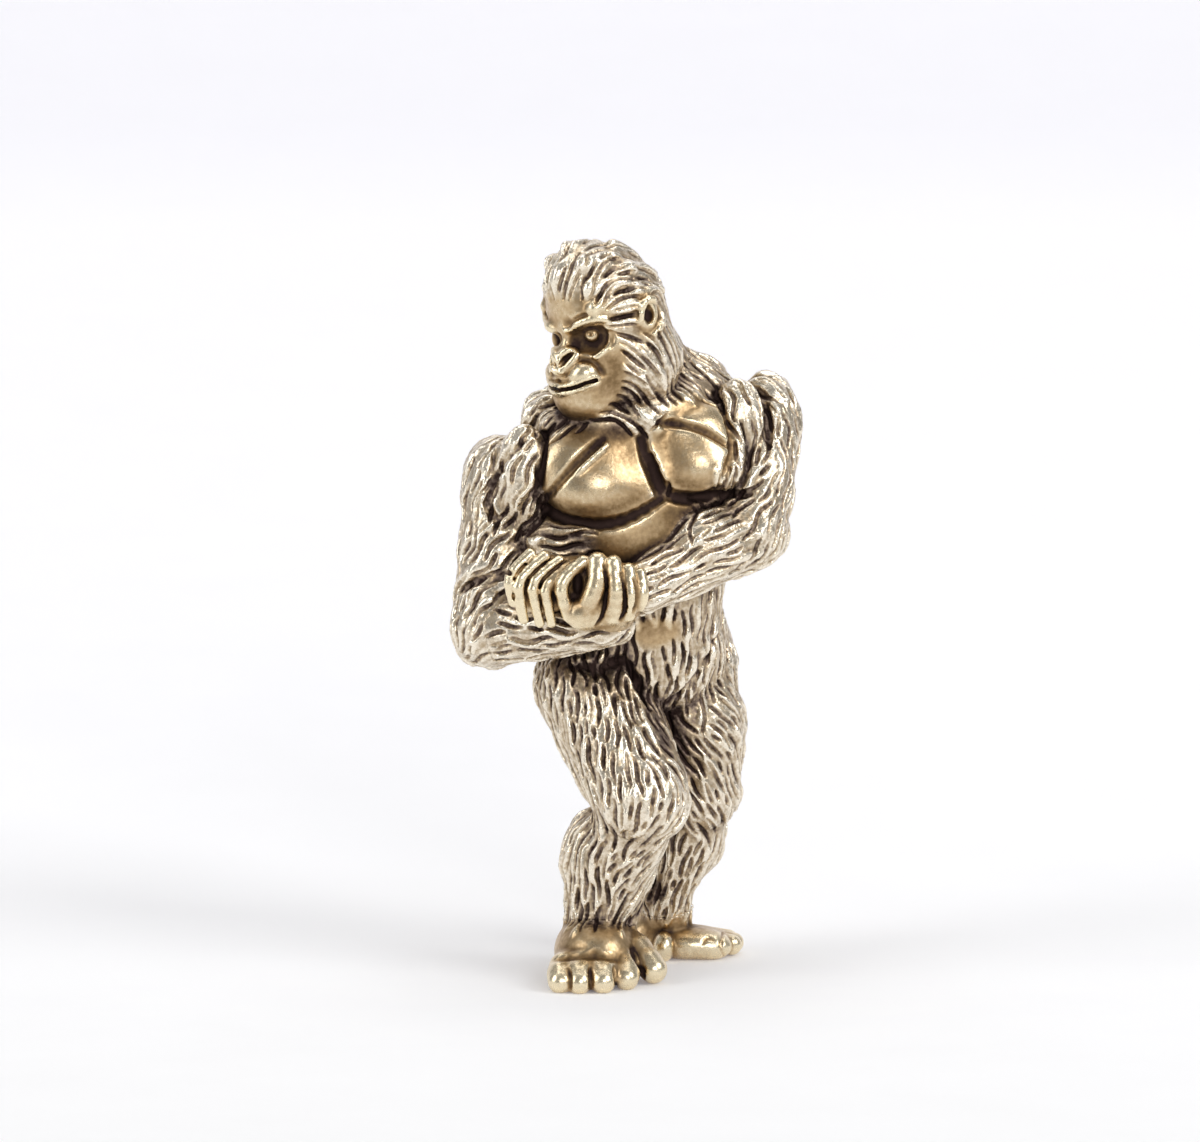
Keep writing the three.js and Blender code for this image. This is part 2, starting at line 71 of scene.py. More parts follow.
# A stroke's widths: how near its ends the curve starts, and how soon it is full.
TAPER_END = 0.02
TAPER_FULLNESS = 0.45

# The corners of one small cube of clay.
CORNERS = [(i, j, k) for i in (0, 1) for j in (0, 1) for k in (0, 1)]

# The photograph: pixels to a millimetre, the column and row of the figure's own origin, and how
# far the camera looks down.
PICTURE_SCALE = 11.4
PICTURE_COLUMN = 627.0
PICTURE_ROW = 968.3
PICTURE_WIDTH = 1200.0
PICTURE_HEIGHT = 1142.0
CAMERA_DOWN = math.radians(10.0)
CAMERA_RIGHT = np.array([1.0, 0.0, 0.0])
CAMERA_UP = np.array([0.0, math.sin(CAMERA_DOWN), math.cos(CAMERA_DOWN)])
CAMERA_AHEAD = np.array([0.0, math.cos(CAMERA_DOWN), -math.sin(CAMERA_DOWN)])

BODY_TURN = 20.0
HEAD_TURN = -52.0
HEAD_ROLL = 5.0
SKULL = np.array([-1.3, -1.5, 58.2])

RIGHT_SHOULDER = (-10.6, -1.6, 44.0)
RIGHT_ELBOW = (-11.9, -4.6, 31.2)
RIGHT_WRIST = (-1.6, -9.6, 32.6)
LEFT_SHOULDER = (11.7, 3.0, 47.4)
LEFT_ELBOW = (10.5, -1.6, 39.2)
LEFT_WRIST = (1.4, -8.8, 35.4)
RIGHT_HIP = (-3.1, -1.2, 25.3)
RIGHT_KNEE = (1.2, -6.4, 16.4)
RIGHT_ANKLE = (-2.2, -4.0, 6.0)
LEFT_HIP = (4.6, 3.6, 25.6)
LEFT_KNEE = (6.2, 2.2, 15.6)
LEFT_ANKLE = (3.4, 3.8, 5.4)


def turned(degrees, roll=0.0):
    """Rows of axes (across, deep, up) for a form turned about the vertical and rolled to one side."""
    c = math.cos(math.radians(degrees))
    s = math.sin(math.radians(degrees))
    across = np.array([c, s, 0.0])
    deep = np.array([-s, c, 0.0])
    up = np.array([0.0, 0.0, 1.0])
    cr = math.cos(math.radians(roll))
    sr = math.sin(math.radians(roll))
    return np.array([cr * across + sr * up, deep, cr * up - sr * across])


UPRIGHT = turned(0.0)
BODY = turned(BODY_TURN)
HEAD = turned(HEAD_TURN, HEAD_ROLL)
FACE_LEFT, FACE_BACK, FACE_UP = HEAD


def on_head(forward, left, up):
    """A place on the head, measured from the middle of the skull."""
    return SKULL - forward * FACE_BACK + left * FACE_LEFT + up * FACE_UP


def mirrored(places):
    """The same places on the other side of the face."""
    left = (np.asarray(places) - SKULL) @ FACE_LEFT
    return np.asarray(places) - 2 * left[:, None] * FACE_LEFT


def egg(centre, radii, axes=UPRIGHT):
    """A swelling: radii across, deep and tall."""
    centre = np.asarray(centre, dtype=np.float32)
    radii = np.asarray(radii, dtype=np.float32)
    half = np.sqrt((axes.T ** 2) @ (radii ** 2))

    def distance(x, y, z):
        near = np.float32(TINIEST)
        slope = np.float32(TINIEST)
        for axis, radius in zip(axes.astype(np.float32), radii):
            local = axis[0] * (x - centre[0]) + axis[1] * (y - centre[1]) + axis[2] * (z - centre[2])
            near = near + (local / radius) ** 2
            slope = slope + (local / radius ** 2) ** 2
        near = np.sqrt(near)
        return near * (near - 1) / np.sqrt(slope)

    return centre - half, centre + half, distance


def rod(start, end, start_radius, end_radius):
    """A round rod that tapers from one end to the other."""
    start = np.asarray(start, dtype=np.float32)
    end = np.asarray(end, dtype=np.float32)
    along = end - start
    length_squared = max(float(along @ along), TINY)

    def distance(x, y, z):
        px, py, pz = x - start[0], y - start[1], z - start[2]
        t = np.clip((px * along[0] + py * along[1] + pz * along[2]) / np.float32(length_squared), 0, 1)
        gap = np.sqrt((px - t * along[0]) ** 2 + (py - t * along[1]) ** 2 + (pz - t * along[2]) ** 2)
        return gap - (np.float32(start_radius) + t * np.float32(end_radius - start_radius))

    reach = max(start_radius, end_radius)
    return np.minimum(start, end) - reach, np.maximum(start, end) + reach, distance


def chain(places, radii):
    """Rods from place to place; one radius for all, or one for each place."""
    if np.isscalar(radii):
        radii = [radii] * len(places)
    return [rod(places[i], places[i + 1], radii[i], radii[i + 1]) for i in range(len(places) - 1)]


def curve(places, count):
    """More places along a smooth line through the given ones."""
    places = np.asarray(places, dtype=np.float64)
    ends = np.vstack([2 * places[0] - places[1], places, 2 * places[-1] - places[-2]])
    spans = len(places) - 1
    found = []
    for s in np.linspace(0, spans, count):
        i = min(int(s), spans - 1)
        t = s - i
        a, b, c, d = ends[i:i + 4]
        bend = (2 * a - 5 * b + 4 * c - d) * t ** 2
        twist = (3 * b - a - 3 * c + d) * t ** 3
        found.append(0.5 * (2 * b + (c - a) * t + bend + twist))
    return np.array(found)


def melt(first, second, blend):
    """The nearer of two forms, run together like wax where they meet."""
    if blend <= 0:
        return np.minimum(first, second)
    share = np.clip(0.5 + 0.5 * (second - first) / np.float32(blend), 0, 1)
    return second + (first - second) * share - np.float32(blend) * share * (1 - share)


def cut_away(first, tool, blend):
    """The first form with a tool's form taken out of it."""
    return -melt(-first, tool, blend)


class Clay:
    """A block of points that holds the distance to the surface being modelled."""

    def __init__(self):
        self.low = np.array(CLAY_LOW)
        self.count = (np.ceil((np.array(CLAY_HIGH) - self.low) / CLAY_GRAIN)).astype(int) + 1
        self.axes = [
            (self.low[i] + CLAY_GRAIN * np.arange(self.count[i])).astype(np.float32) for i in range(3)
        ]
        self.level = np.full(tuple(self.count), FAR, dtype=np.float32)
        self.nearest = np.full(tuple(self.count), FAR, dtype=np.float32)
        self.owner = np.zeros(tuple(self.count), dtype=np.uint8)

    def window(self, low, high):
        """The part of the block between two corners, and the coordinates of its points."""
        first = np.floor((np.asarray(low) - self.low) / CLAY_GRAIN).astype(int)
        last = np.ceil((np.asarray(high) - self.low) / CLAY_GRAIN).astype(int) + 1
        first = np.clip(first, 0, self.count - 1)
        last = np.clip(last, first + 1, self.count)
        part = tuple(slice(first[i], last[i]) for i in range(3))
        x = self.axes[0][part[0]][:, None, None]
        y = self.axes[1][part[1]][None, :, None]
        z = self.axes[2][part[2]][None, None, :]
        return part, x, y, z

    def add_piece(self, number, forms, blend):
        """Model one casting and run its skin a little into its neighbours."""
        low = np.min([form[0] for form, _ in forms], axis=0) - PIECE_MARGIN
        high = np.max([form[1] for form, _ in forms], axis=0) + PIECE_MARGIN
        part, x, y, z = self.window(low, high)
        own = None
        for form, own_blend in forms:
            found = form[2](x, y, z)
            joined = blend if own_blend is None else own_blend
            own = found if own is None else melt(own, found, joined)
        nearest = self.nearest[part]
        taken = (own < nearest - SEAM_KEEP) & (nearest > 0)
        self.owner[part][taken] = number
        self.nearest[part] = np.minimum(nearest, own)
        self.level[part] = melt(self.level[part], own, JOINT_BLEND)

    def work(self, form, blend, carve=False):
        """Press one tool's form into the surface, or lay a pellet of wax on it."""
        part, x, y, z = self.window(form[0] - blend - TOOL_MARGIN, form[1] + blend + TOOL_MARGIN)
        found = form[2](x, y, z)
        if carve:
            self.level[part] = cut_away(self.level[part], found, blend)
        else:
            self.level[part] = melt(self.level[part], found, blend)

    def sample(self, places, field=None):
        """The distance at any places, read between the points of the block."""
        field = self.level if field is None else field
        spot = (places - self.low) / CLAY_GRAIN
        spot = np.clip(spot, 0, self.count - READ_STOP)
        base = spot.astype(int)
        part = (spot - base).astype(np.float32)
        total = np.zeros(len(places), dtype=np.float32)
        for i, j, k in CORNERS:
            weight = np.abs(1 - i - part[:, 0])
            weight = weight * np.abs(1 - j - part[:, 1])
            weight = weight * np.abs(1 - k - part[:, 2])
            total += weight * field[base[:, 0] + i, base[:, 1] + j, base[:, 2] + k]
        return total

    def normal(self, places, field=None):
        """The way in which the distance, or another field of the block, grows fastest."""
        step = SLOPE_STEP * CLAY_GRAIN
        slope = np.zeros((len(places), 3), dtype=np.float64)
        for i in range(3):
            shift = np.zeros(3)
            shift[i] = step
            slope[:, i] = self.sample(places + shift, field) - self.sample(places - shift, field)
        return slope / np.maximum(np.linalg.norm(slope, axis=1, keepdims=True), TINY)

    def settle(self, places, field=None, rounds=SETTLE_ROUNDS):
        """Move places straight on to the surface."""
        places = np.array(places, dtype=np.float64)
        for _ in range(rounds):
            gap = np.clip(self.sample(places, field), -SETTLE_MOVE, SETTLE_MOVE)
            places -= self.normal(places, field) * gap[:, None]
        return places

    def seen(self, pixels, depth=0.0):
        """The surface under pixels of the photograph, and then so much deeper."""
        pixels = np.asarray(pixels, dtype=np.float64)
        across = (pixels[:, 0] - PICTURE_COLUMN) / PICTURE_SCALE
        rise = (PICTURE_ROW - pixels[:, 1]) / PICTURE_SCALE
        start = across[:, None] * CAMERA_RIGHT + rise[:, None] * CAMERA_UP
        way = np.arange(-SIGHT_REACH, SIGHT_REACH, CLAY_GRAIN / 2)
        track = start[:, None, :] + way[None, :, None] * CAMERA_AHEAD
        flat = track.reshape(-1, 3)
        inside = (self.sample(flat) < 0).reshape(len(pixels), len(way))
        first = np.argmax(inside, axis=1)
        return track[np.arange(len(pixels)), first] + depth * CAMERA_AHEAD

    def draw(self, places, radius, blend, carve=False, depth=0.0):
        """A stroke of the tool through places that are settled on the surface."""
        places = self.settle(places)
        places = places - self.normal(places) * depth
        for form in chain(list(places), radius):
            self.work(form, blend, carve)


def taper(count, tip):
    """Widths along a stroke: thin at both ends, full in the middle."""
    s = np.linspace(TAPER_END, 1 - TAPER_END, count)
    return tip + (1 - tip) * np.sin(math.pi * s) ** TAPER_FULLNESS


# The castings, in the order in which one keeps its skin where two meet. A form runs into the forms
# before it over its casting's own blend, or over one of these.
NECK_SLOPE_BLEND = 0.8
BREAST_BLEND = 0.35
BREAST_SWELL_BLEND = 0.9
MUZZLE_BLEND = 0.8
ARM_MUSCLE_BLEND = 0.4
FINGER_BLEND = 0.1
DIGIT_BLEND = 0.22
TOE_BLEND = 0.6
GREAT_TOE_BLEND = 0.3
LEFT_TOE_BLEND = 0.15


def plain(forms):
    """Forms that run together over their casting's own blend."""
    return [(form, None) for form in forms]


def sharp(forms, blend):
    """Forms that run in over a blend of their own."""
    return [(form, blend) for form in forms]


RIB_CAGE = egg((0.8, 2.2, 43.0), (10.0, 8.6, 10.0), BODY)
UPPER_BACK = egg((1.6, 4.0, 49.4), (8.6, 6.4, 5.6), BODY)
WAIST = egg((1.2, 1.8, 33.6), (7.2, 7.6, 9.0), BODY)
HIPS = egg((1.4, 2.4, 27.4), (7.4, 7.0, 5.8), BODY)
RIGHT_BUTTOCK = egg((-1.6, 4.8, 26.0), (5.2, 5.0, 5.6), BODY)
LEFT_BUTTOCK = egg((4.8, 6.0, 25.6), (4.8, 4.6, 5.4), BODY)
RIGHT_FLANK = egg((-6.2, -3.6, 38.4), (3.4, 4.2, 3.6))
UPPER_BELLY = egg((0.6, -4.2, 39.4), (5.4, 3.2, 4.4), BODY)
COLLAR_LINE = [(-6.6, -3.0, 48.7), (-2.6, -4.2, 49.4), (1.8, -3.6, 49.9), (4.6, -2.2, 50.4)]
COLLAR_RADII = [1.0, 1.0, 1.0, 1.1]
NECK_SLOPE = egg((-7.0, 1.0, 49.0), (2.3, 2.4, 2.2))
RIGHT_BREAST = egg((-2.4, -3.6, 45.2), (5.9, 3.4, 4.6), BODY)
LEFT_BREAST = egg((5.8, -2.0, 46.5), (4.8, 3.0, 4.3), BODY)
RIGHT_BREAST_SWELL = egg((-2.0, -4.6, 43.7), (5.0, 3.4, 3.5), BODY)
LEFT_BREAST_SWELL = egg((6.4, -2.5, 45.2), (3.9, 3.3, 3.3), BODY)
TORSO = plain([RIB_CAGE, UPPER_BACK, WAIST, HIPS, RIGHT_BUTTOCK, LEFT_BUTTOCK, RIGHT_FLANK, UPPER_BELLY])
TORSO += plain(chain(COLLAR_LINE, COLLAR_RADII))
TORSO += sharp([NECK_SLOPE], NECK_SLOPE_BLEND)
TORSO += sharp([RIGHT_BREAST, LEFT_BREAST], BREAST_BLEND)
TORSO += sharp([RIGHT_BREAST_SWELL, LEFT_BREAST_SWELL], BREAST_SWELL_BLEND)

SKULL_BALL = egg(on_head(0.3, 0, 0.6), (4.7, 5.2, 5.0), HEAD)
CROWN = egg(on_head(2.45, 0, 3.6), (3.3, 4.0, 3.1), HEAD)
FOREHEAD = egg(on_head(2.9, 0, 1.2), (3.3, 3.0, 2.4), HEAD)
NAPE = rod((-0.6, 0.8, 57.0), (1.6, 3.4, 51.4), 3.8, 4.8)
JAW = egg(on_head(0.6, 0, -3.6), (4.3, 4.0, 4.0), HEAD)
CHEEK_RUFFS = [egg(on_head(-1.6, left, -3.8), (2.4, 3.2, 4.2), HEAD) for left in (2.6, -2.6)]
CHEEKS = egg(on_head(2.2, 0, -1.4), (3.6, 3.0, 3.6), HEAD)
MUZZLE = egg(on_head(3.2, 0, -4.9), (3.2, 3.2, 3.0), HEAD)
CHIN = egg(on_head(3.1, 0, -6.5), (3.0, 3.0, 2.5), HEAD)
NOSE_BRIDGE = rod(on_head(4.5, 0, -0.9), on_head(5.2, 0, -2.6), 0.7, 0.8)
NOSE = egg(on_head(4.75, 0, -2.95), (1.5, 1.35, 1.15), HEAD)
HEAD_FORMS = plain([SKULL_BALL, CROWN, FOREHEAD, NAPE, JAW, *CHEEK_RUFFS, CHEEKS])
HEAD_FORMS += sharp([MUZZLE, CHIN, NOSE_BRIDGE, NOSE], MUZZLE_BLEND)

UPPER_ARM_RADII = (3.4, 3.5)
FOREARM_RADII = (3.5, 2.2)
WRIST_RADII = (2.0, 1.6)
RIGHT_SHOULDER_CAP = egg((-11.1, -0.6, 43.0), (3.4, 4.2, 4.4))
RIGHT_SHOULDER_FRONT = egg((-9.0, -4.2, 44.2), (2.6, 2.6, 4.9))
RIGHT_UPPER_ARM = plain([rod(RIGHT_SHOULDER, RIGHT_ELBOW, *UPPER_ARM_RADII), RIGHT_SHOULDER_CAP])
RIGHT_UPPER_ARM += sharp([RIGHT_SHOULDER_FRONT], ARM_MUSCLE_BLEND)
LEFT_SHOULDER_CAP = egg((12.3, 4.0, 47.8), (3.0, 4.0, 4.6))
LEFT_SHOULDER_FRONT = egg((9.7, 0.6, 48.2), (2.6, 2.6, 4.2))
LEFT_BICEPS = egg((11.5, 0.4, 43.3), (2.8, 3.2, 3.8))
LEFT_UPPER_ARM = plain([rod(LEFT_SHOULDER, LEFT_ELBOW, *UPPER_ARM_RADII), LEFT_SHOULDER_CAP, LEFT_BICEPS])
LEFT_UPPER_ARM += sharp([LEFT_SHOULDER_FRONT], ARM_MUSCLE_BLEND)
RIGHT_FOREARM = plain([rod(RIGHT_ELBOW, RIGHT_WRIST, *FOREARM_RADII)])
LEFT_FOREARM_SWELL = egg((6.4, -4.6, 38.7), (3.7, 3.0, 3.0))
LEFT_FOREARM = plain([rod(LEFT_ELBOW, LEFT_WRIST, *FOREARM_RADII), LEFT_FOREARM_SWELL])

LEFT_FINGERS = [
    [(-8.4, -10.9, 38.8), (-9.6, -11.5, 37.7), (-10.2, -11.8, 36.6), (-9.9, -11.7, 34.7)],
    [(-7.2, -11.0, 38.6), (-8.5, -11.7, 37.6), (-9.4, -12.0, 36.5), (-9.3, -12.0, 34.8),
     (-9.0, -11.8, 33.2)],
    [(-5.9, -11.0, 38.2), (-7.2, -11.7, 37.4), (-8.2, -12.0, 36.3), (-8.0, -12.0, 34.6),
     (-7.6, -11.8, 32.9)],
    [(-4.8, -11.0, 37.9), (-6.1, -11.7, 37.2), (-7.1, -12.0, 36.1), (-6.9, -12.0, 34.5),
     (-6.6, -11.8, 32.9)],
]
FINGER_RADII = [0.55, 0.52, 0.5, 0.52, 0.54, 0.51, 0.48, 0.45]
LEFT_PALM = egg((-4.4, -10.4, 36.2), (3.0, 1.7, 2.4))
LEFT_KNUCKLES = egg((-7.4, -10.4, 36.1), (2.9, 1.1, 2.7))
LEFT_PALM_END = (-3.0, -10.0, 36.6)
LEFT_HAND = plain([LEFT_PALM, LEFT_KNUCKLES, rod(LEFT_WRIST, LEFT_PALM_END, *WRIST_RADII)])
for finger in LEFT_FINGERS:
    LEFT_HAND += sharp(chain(curve(finger, len(FINGER_RADII)), FINGER_RADII), FINGER_BLEND)

# Each digit of the right hand: its line and its radius.
RIGHT_DIGITS = [
    ([(-2.6, -11.9, 38.3), (-2.6, -12.4, 36.9), (-3.0, -12.5, 35.5), (-3.5, -12.3, 34.4)], 0.88),
    ([(-1.2, -12.0, 38.2), (-1.0, -12.5, 36.6), (-1.0, -12.6, 35.2), (-1.3, -12.3, 33.5)], 0.72),
    ([(0.1, -11.8, 37.6), (0.3, -12.3, 36.2), (0.35, -12.4, 35.0), (0.1, -12.0, 33.6)], 0.6),
    ([(1.15, -11.4, 37.2), (1.3, -11.9, 36.0), (1.3, -12.0, 35.2), (1.05, -11.7, 34.3)], 0.5),
    ([(-3.8, -11.7, 38.3), (-5.3, -12.2, 37.0), (-5.7, -12.4, 35.8), (-5.1, -12.2, 33.6)], 0.58),
]
DIGIT_POINTS = 7
RIGHT_PALM = egg((-1.5, -11.2, 34.2), (2.6, 1.7, 2.0))
RIGHT_THUMB_BALL = egg((-3.7, -12.0, 33.7), (1.75, 1.2, 1.45))
RIGHT_PALM_END = (-1.4, -10.6, 33.4)
RIGHT_HAND = plain([RIGHT_PALM, RIGHT_THUMB_BALL, rod(RIGHT_WRIST, RIGHT_PALM_END, *WRIST_RADII)])
for line, radius in RIGHT_DIGITS:
    RIGHT_HAND += sharp(chain(curve(line, DIGIT_POINTS), radius), DIGIT_BLEND)

RIGHT_THIGH_RADII = (5.0, 4.3)
LEFT_THIGH_RADII = (5.0, 3.9)
RIGHT_SHIN_RADII = (3.5, 3.2)
LEFT_SHIN_RADII = (2.9, 2.3)
LEFT_THIGH_SWELL = egg((6.2, 2.9, 20.8), (4.2, 4.6, 5.0))
RIGHT_CALF = egg((-2.2, -3.2, 10.2), (3.7, 3.9, 4.8))
LEFT_CALF = egg((5.5, 4.0, 11.3), (3.2, 3.2, 4.2))
RIGHT_THIGH = plain([rod(RIGHT_HIP, RIGHT_KNEE, *RIGHT_THIGH_RADII)])
LEFT_THIGH = plain([rod(LEFT_HIP, LEFT_KNEE, *LEFT_THIGH_RADII), LEFT_THIGH_SWELL])
RIGHT_SHIN = plain([rod(RIGHT_KNEE, RIGHT_ANKLE, *RIGHT_SHIN_RADII), RIGHT_CALF])
LEFT_SHIN = plain([rod(LEFT_KNEE, LEFT_ANKLE, *LEFT_SHIN_RADII), LEFT_CALF])

RIGHT_TOES = [
    [(-4.8, -6.6, 2.0), (-5.5, -9.2, 1.8), (-5.75, -10.3, 1.4), (-5.85, -11.1, 0.92)],
    [(-3.4, -6.8, 2.1), (-3.9, -9.6, 1.9), (-4.1, -10.7, 1.45), (-4.15, -11.5, 0.92)],
    [(-2.0, -6.4, 2.1), (-2.1, -9.4, 1.9), (-2.1, -10.5, 1.45), (-2.1, -11.3, 0.92)],
    [(-0.6, -5.4, 2.1), (-0.2, -8.2, 1.8), (-0.1, -9.1, 1.4), (-0.05, -9.9, 0.95)],
]
TOE_RADII = [1.0, 1.2, 1.12, 1.08]
RIGHT_GREAT_TOE = [(-0.8, -4.7, 3.5), (0.8, -6.2, 2.7), (1.8, -7.2, 1.8), (2.3, -7.6, 1.25)]
GREAT_TOE_RADII = [1.5, 1.42, 1.22, 1.24]
RIGHT_INSTEP = egg((-2.6, -5.2, 2.4), (3.8, 4.8, 3.4))
RIGHT_HEEL = egg((-3.0, -0.8, 1.8), (2.6, 2.6, 2.8))
RIGHT_ANKLE_FOOT = rod(RIGHT_ANKLE, (-2.4, -3.4, 2.6), 3.0, 2.4)
RIGHT_SOLE = egg((-2.9, -8.0, 1.4), (3.6, 2.6, 1.7))
RIGHT_FOOT = plain([RIGHT_INSTEP, RIGHT_HEEL, RIGHT_ANKLE_FOOT, RIGHT_SOLE])
for toe in RIGHT_TOES:
    RIGHT_FOOT += sharp(chain(toe, TOE_RADII), TOE_BLEND)
RIGHT_FOOT += sharp(chain(RIGHT_GREAT_TOE, GREAT_TOE_RADII), GREAT_TOE_BLEND)

LEFT_SOLE = egg((4.9, 4.8, 1.3), (4.4, 2.6, 1.4))
LEFT_HEEL = egg((2.2, 5.2, 1.4), (2.4, 2.2, 2.2))
LEFT_ANKLE_FOOT = rod(LEFT_ANKLE, (3.8, 4.4, 2.0), 2.2, 1.8)
LEFT_INSTEP = egg((5.6, 3.2, 1.3), (3.4, 1.9, 1.4))
LEFT_NEAR_TOE = egg((7.6, 2.9, 1.1), (1.7, 1.35, 1.1))
LEFT_GREAT_TOE = egg((3.3, 2.0, 1.3), (1.0, 1.5, 1.35))
LEFT_FAR_TOES = [
    rod((6.6, 3.9, 1.5), (9.3, 4.2, 1.0), 1.0, 0.92),
    rod((6.6, 5.0, 1.5), (9.5, 5.4, 0.95), 1.0, 0.9),
    rod((5.6, 6.2, 1.5), (9.0, 7.0, 0.9), 1.0, 0.9),
]
LEFT_FOOT = plain([LEFT_SOLE, LEFT_HEEL, LEFT_ANKLE_FOOT, LEFT_INSTEP, LEFT_NEAR_TOE])
LEFT_FOOT += sharp([LEFT_GREAT_TOE, *LEFT_FAR_TOES], LEFT_TOE_BLEND)

# The way the hair is combed: at each place on a casting, which way it lies.
COMBS = {
    "torso": [
        ((0.0, 9.0, 44.0), (0.0, 0.0, -1.0)), ((8.0, 4.0, 53.0), (0.8, 0.1, -0.45)),
        ((-7.0, 2.0, 50.0), (-0.8, 0.0, -0.6)), ((-6.0, -8.0, 39.0), (1.0, -0.3, 0.1)),
        ((2.0, -5.0, 28.0), (0.0, 0.0, -1.0)), ((7.0, -2.0, 32.0), (0.05, 0.0, -1.0)),
        ((-3.0, -5.2, 49.2), (-0.9, -0.1, -0.5)),
    ],
    "right_upper_arm": [
        ((-13.0, -2.0, 45.0), (-0.3, -0.2, -0.9)), ((-9.5, -6.5, 44.0), (-0.45, -0.1, -0.9)),
        ((-11.0, -7.0, 37.0), (-0.8, -0.2, -0.7)), ((-12.0, 3.0, 40.0), (0.1, -0.2, -1.0)),
    ],
    "left_upper_arm": [
        ((11.5, 1.0, 51.5), (0.8, -0.3, -0.3)), ((14.8, 2.0, 46.0), (0.1, -0.2, -1.0)),
        ((10.0, -2.0, 49.0), (0.05, -0.3, -1.0)), ((11.5, -2.5, 43.0), (-0.7, -0.3, -0.7)),
        ((12.0, 7.0, 45.0), (0.0, -0.2, -1.0)),
    ],
    "right_forearm": [((-8.0, -9.0, 31.0), (1.0, -0.4, 0.08))],
    "left_forearm": [((10.0, -3.0, 38.0), (-1.0, -0.7, -0.2)), ((4.0, -9.0, 38.0), (-0.9, -0.6, -0.4))],
    "right_thigh": [
        ((-5.0, -3.0, 24.0), (0.1, 0.0, -1.0)), ((-1.0, -8.0, 24.0), (0.05, -0.2, -1.0)),
        ((3.8, -6.0, 19.0), (0.6, 0.2, -0.8)), ((3.5, -8.0, 14.0), (-0.5, -0.2, -0.8)),
        ((-3.5, -3.5, 18.0), (0.45, -0.3, -0.9)),
    ],
    "left_thigh": [
        ((7.0, -1.0, 24.0), (0.8, 0.2, -0.5)), ((6.0, -1.6, 20.0), (0.7, 0.1, -0.7)),
        ((7.0, -1.6, 16.5), (0.45, 0.0, -0.9)), ((5.0, 8.0, 20.0), (0.0, 0.0, -1.0)),
    ],
    "right_shin": [
        ((-1.0, -5.0, 13.5), (-0.8, 0.1, -0.5)), ((-5.5, -2.0, 11.0), (-0.2, 0.1, -1.0)),
        ((-3.0, -7.0, 8.5), (0.05, -0.1, -1.0)), ((1.0, -6.0, 9.0), (-0.6, -0.2, -0.7)),
        ((-2.0, 1.0, 9.0), (0.0, 0.0, -1.0)),
    ],
    "left_shin": [((4.5, 3.0, 10.0), (-0.25, 0.0, -1.0))],
}

# The strokes of the tool in a casting's hair: the room between them, their radius, their least and
# greatest length, how far they swing from side to side, and over what length.
Hair = namedtuple("Hair", "spacing radius shortest longest swing swing_length")

# Each casting: its forms, how softly they run together, and its hair. One without hair is bare.
CASTINGS = [
    ("torso", TORSO, 2.4, Hair(0.56, 0.16, 2.2, 5.0, 0.3, 3.4)),
    ("head", HEAD_FORMS, 1.4, Hair(0.54, 0.165, 2.4, 5.6, 0.14, 5.0)),
    ("right_upper_arm", RIGHT_UPPER_ARM, 1.0, Hair(0.58, 0.175, 2.6, 6.2, 0.38, 3.8)),
    ("left_upper_arm", LEFT_UPPER_ARM, 1.0, Hair(0.58, 0.165, 2.6, 6.2, 0.36, 3.8)),
    ("right_forearm", RIGHT_FOREARM, 1.0, Hair(0.56, 0.21, 2.4, 6.4, 0.36, 3.8)),
    ("left_forearm", LEFT_FOREARM, 1.0, Hair(0.54, 0.15, 2.8, 6.6, 0.2, 4.6)),
    ("left_hand", LEFT_HAND, 0.6, None),
    ("right_hand", RIGHT_HAND, 0.6, None),
    ("right_thigh", RIGHT_THIGH, 1.2, Hair(0.56, 0.175, 1.8, 4.2, 0.22, 3.2)),
    ("left_thigh", LEFT_THIGH, 1.2, Hair(0.54, 0.15, 2.0, 4.4, 0.16, 3.4)),
    ("right_shin", RIGHT_SHIN, 1.2, Hair(0.51, 0.175, 2.0, 5.4, 0.2, 3.8)),
    ("left_shin", LEFT_SHIN, 1.2, Hair(0.51, 0.175, 2.0, 5.4, 0.2, 3.8)),
    ("right_foot", RIGHT_FOOT, 0.8, None),
    ("left_foot", LEFT_FOOT, 0.6, None),
]
PIECE_NUMBER = {casting[0]: number for number, casting in enumerate(CASTINGS, start=1)}

clay = Clay()
for name, forms, blend, _ in CASTINGS:
    clay.add_piece(PIECE_NUMBER[name], forms, blend)

# A stroke of the tool: its line in pixels of the photograph, the points it is drawn through, the tool's
# radius (one, or one for each point), how softly its edges run out, how deep under the skin the tool's
# middle goes, and the share of its radius that is left at the ends.
Stroke = namedtuple("Stroke", "line points radius blend depth tip", defaults=(0.0, 1.0))

# A pellet of wax, or a hole of its shape: its place, as a pixel or on the head, its radii, how softly
# its edges run out, and how deep it is set.
Pellet = namedtuple("Pellet", "place radii blend depth", defaults=(0.0,))


def widths(stroke):
    """The tool's radius at each point of a stroke."""
    if isinstance(stroke.radius, list):
        return stroke.radius
    return list(stroke.radius * taper(stroke.points, stroke.tip))


def draw_seen(stroke, carve=False):
    """A stroke on the side that the photograph shows."""
    line = clay.seen(curve(stroke.line, stroke.points))
    clay.draw(line, widths(stroke), stroke.blend, carve, stroke.depth)


def on_both_sides(pixels):
    """Places on the near side of the face, and their mirror on the far side."""
    near = clay.seen(pixels)
    return [near, mirrored(near)]


def draw_face(stroke, carve=False):
    """A stroke on the near side of the face, and its mirror on the far side."""
    for line in on_both_sides(curve(stroke.line, stroke.points)):
        clay.draw(line, widths(stroke), stroke.blend, carve, stroke.depth)


def press_seen(pellet):
    """A hole under one pixel of the photograph."""
    middle = clay.seen([pellet.place], pellet.depth)[0]
    clay.work(egg(middle, pellet.radii), pellet.blend, carve=True)


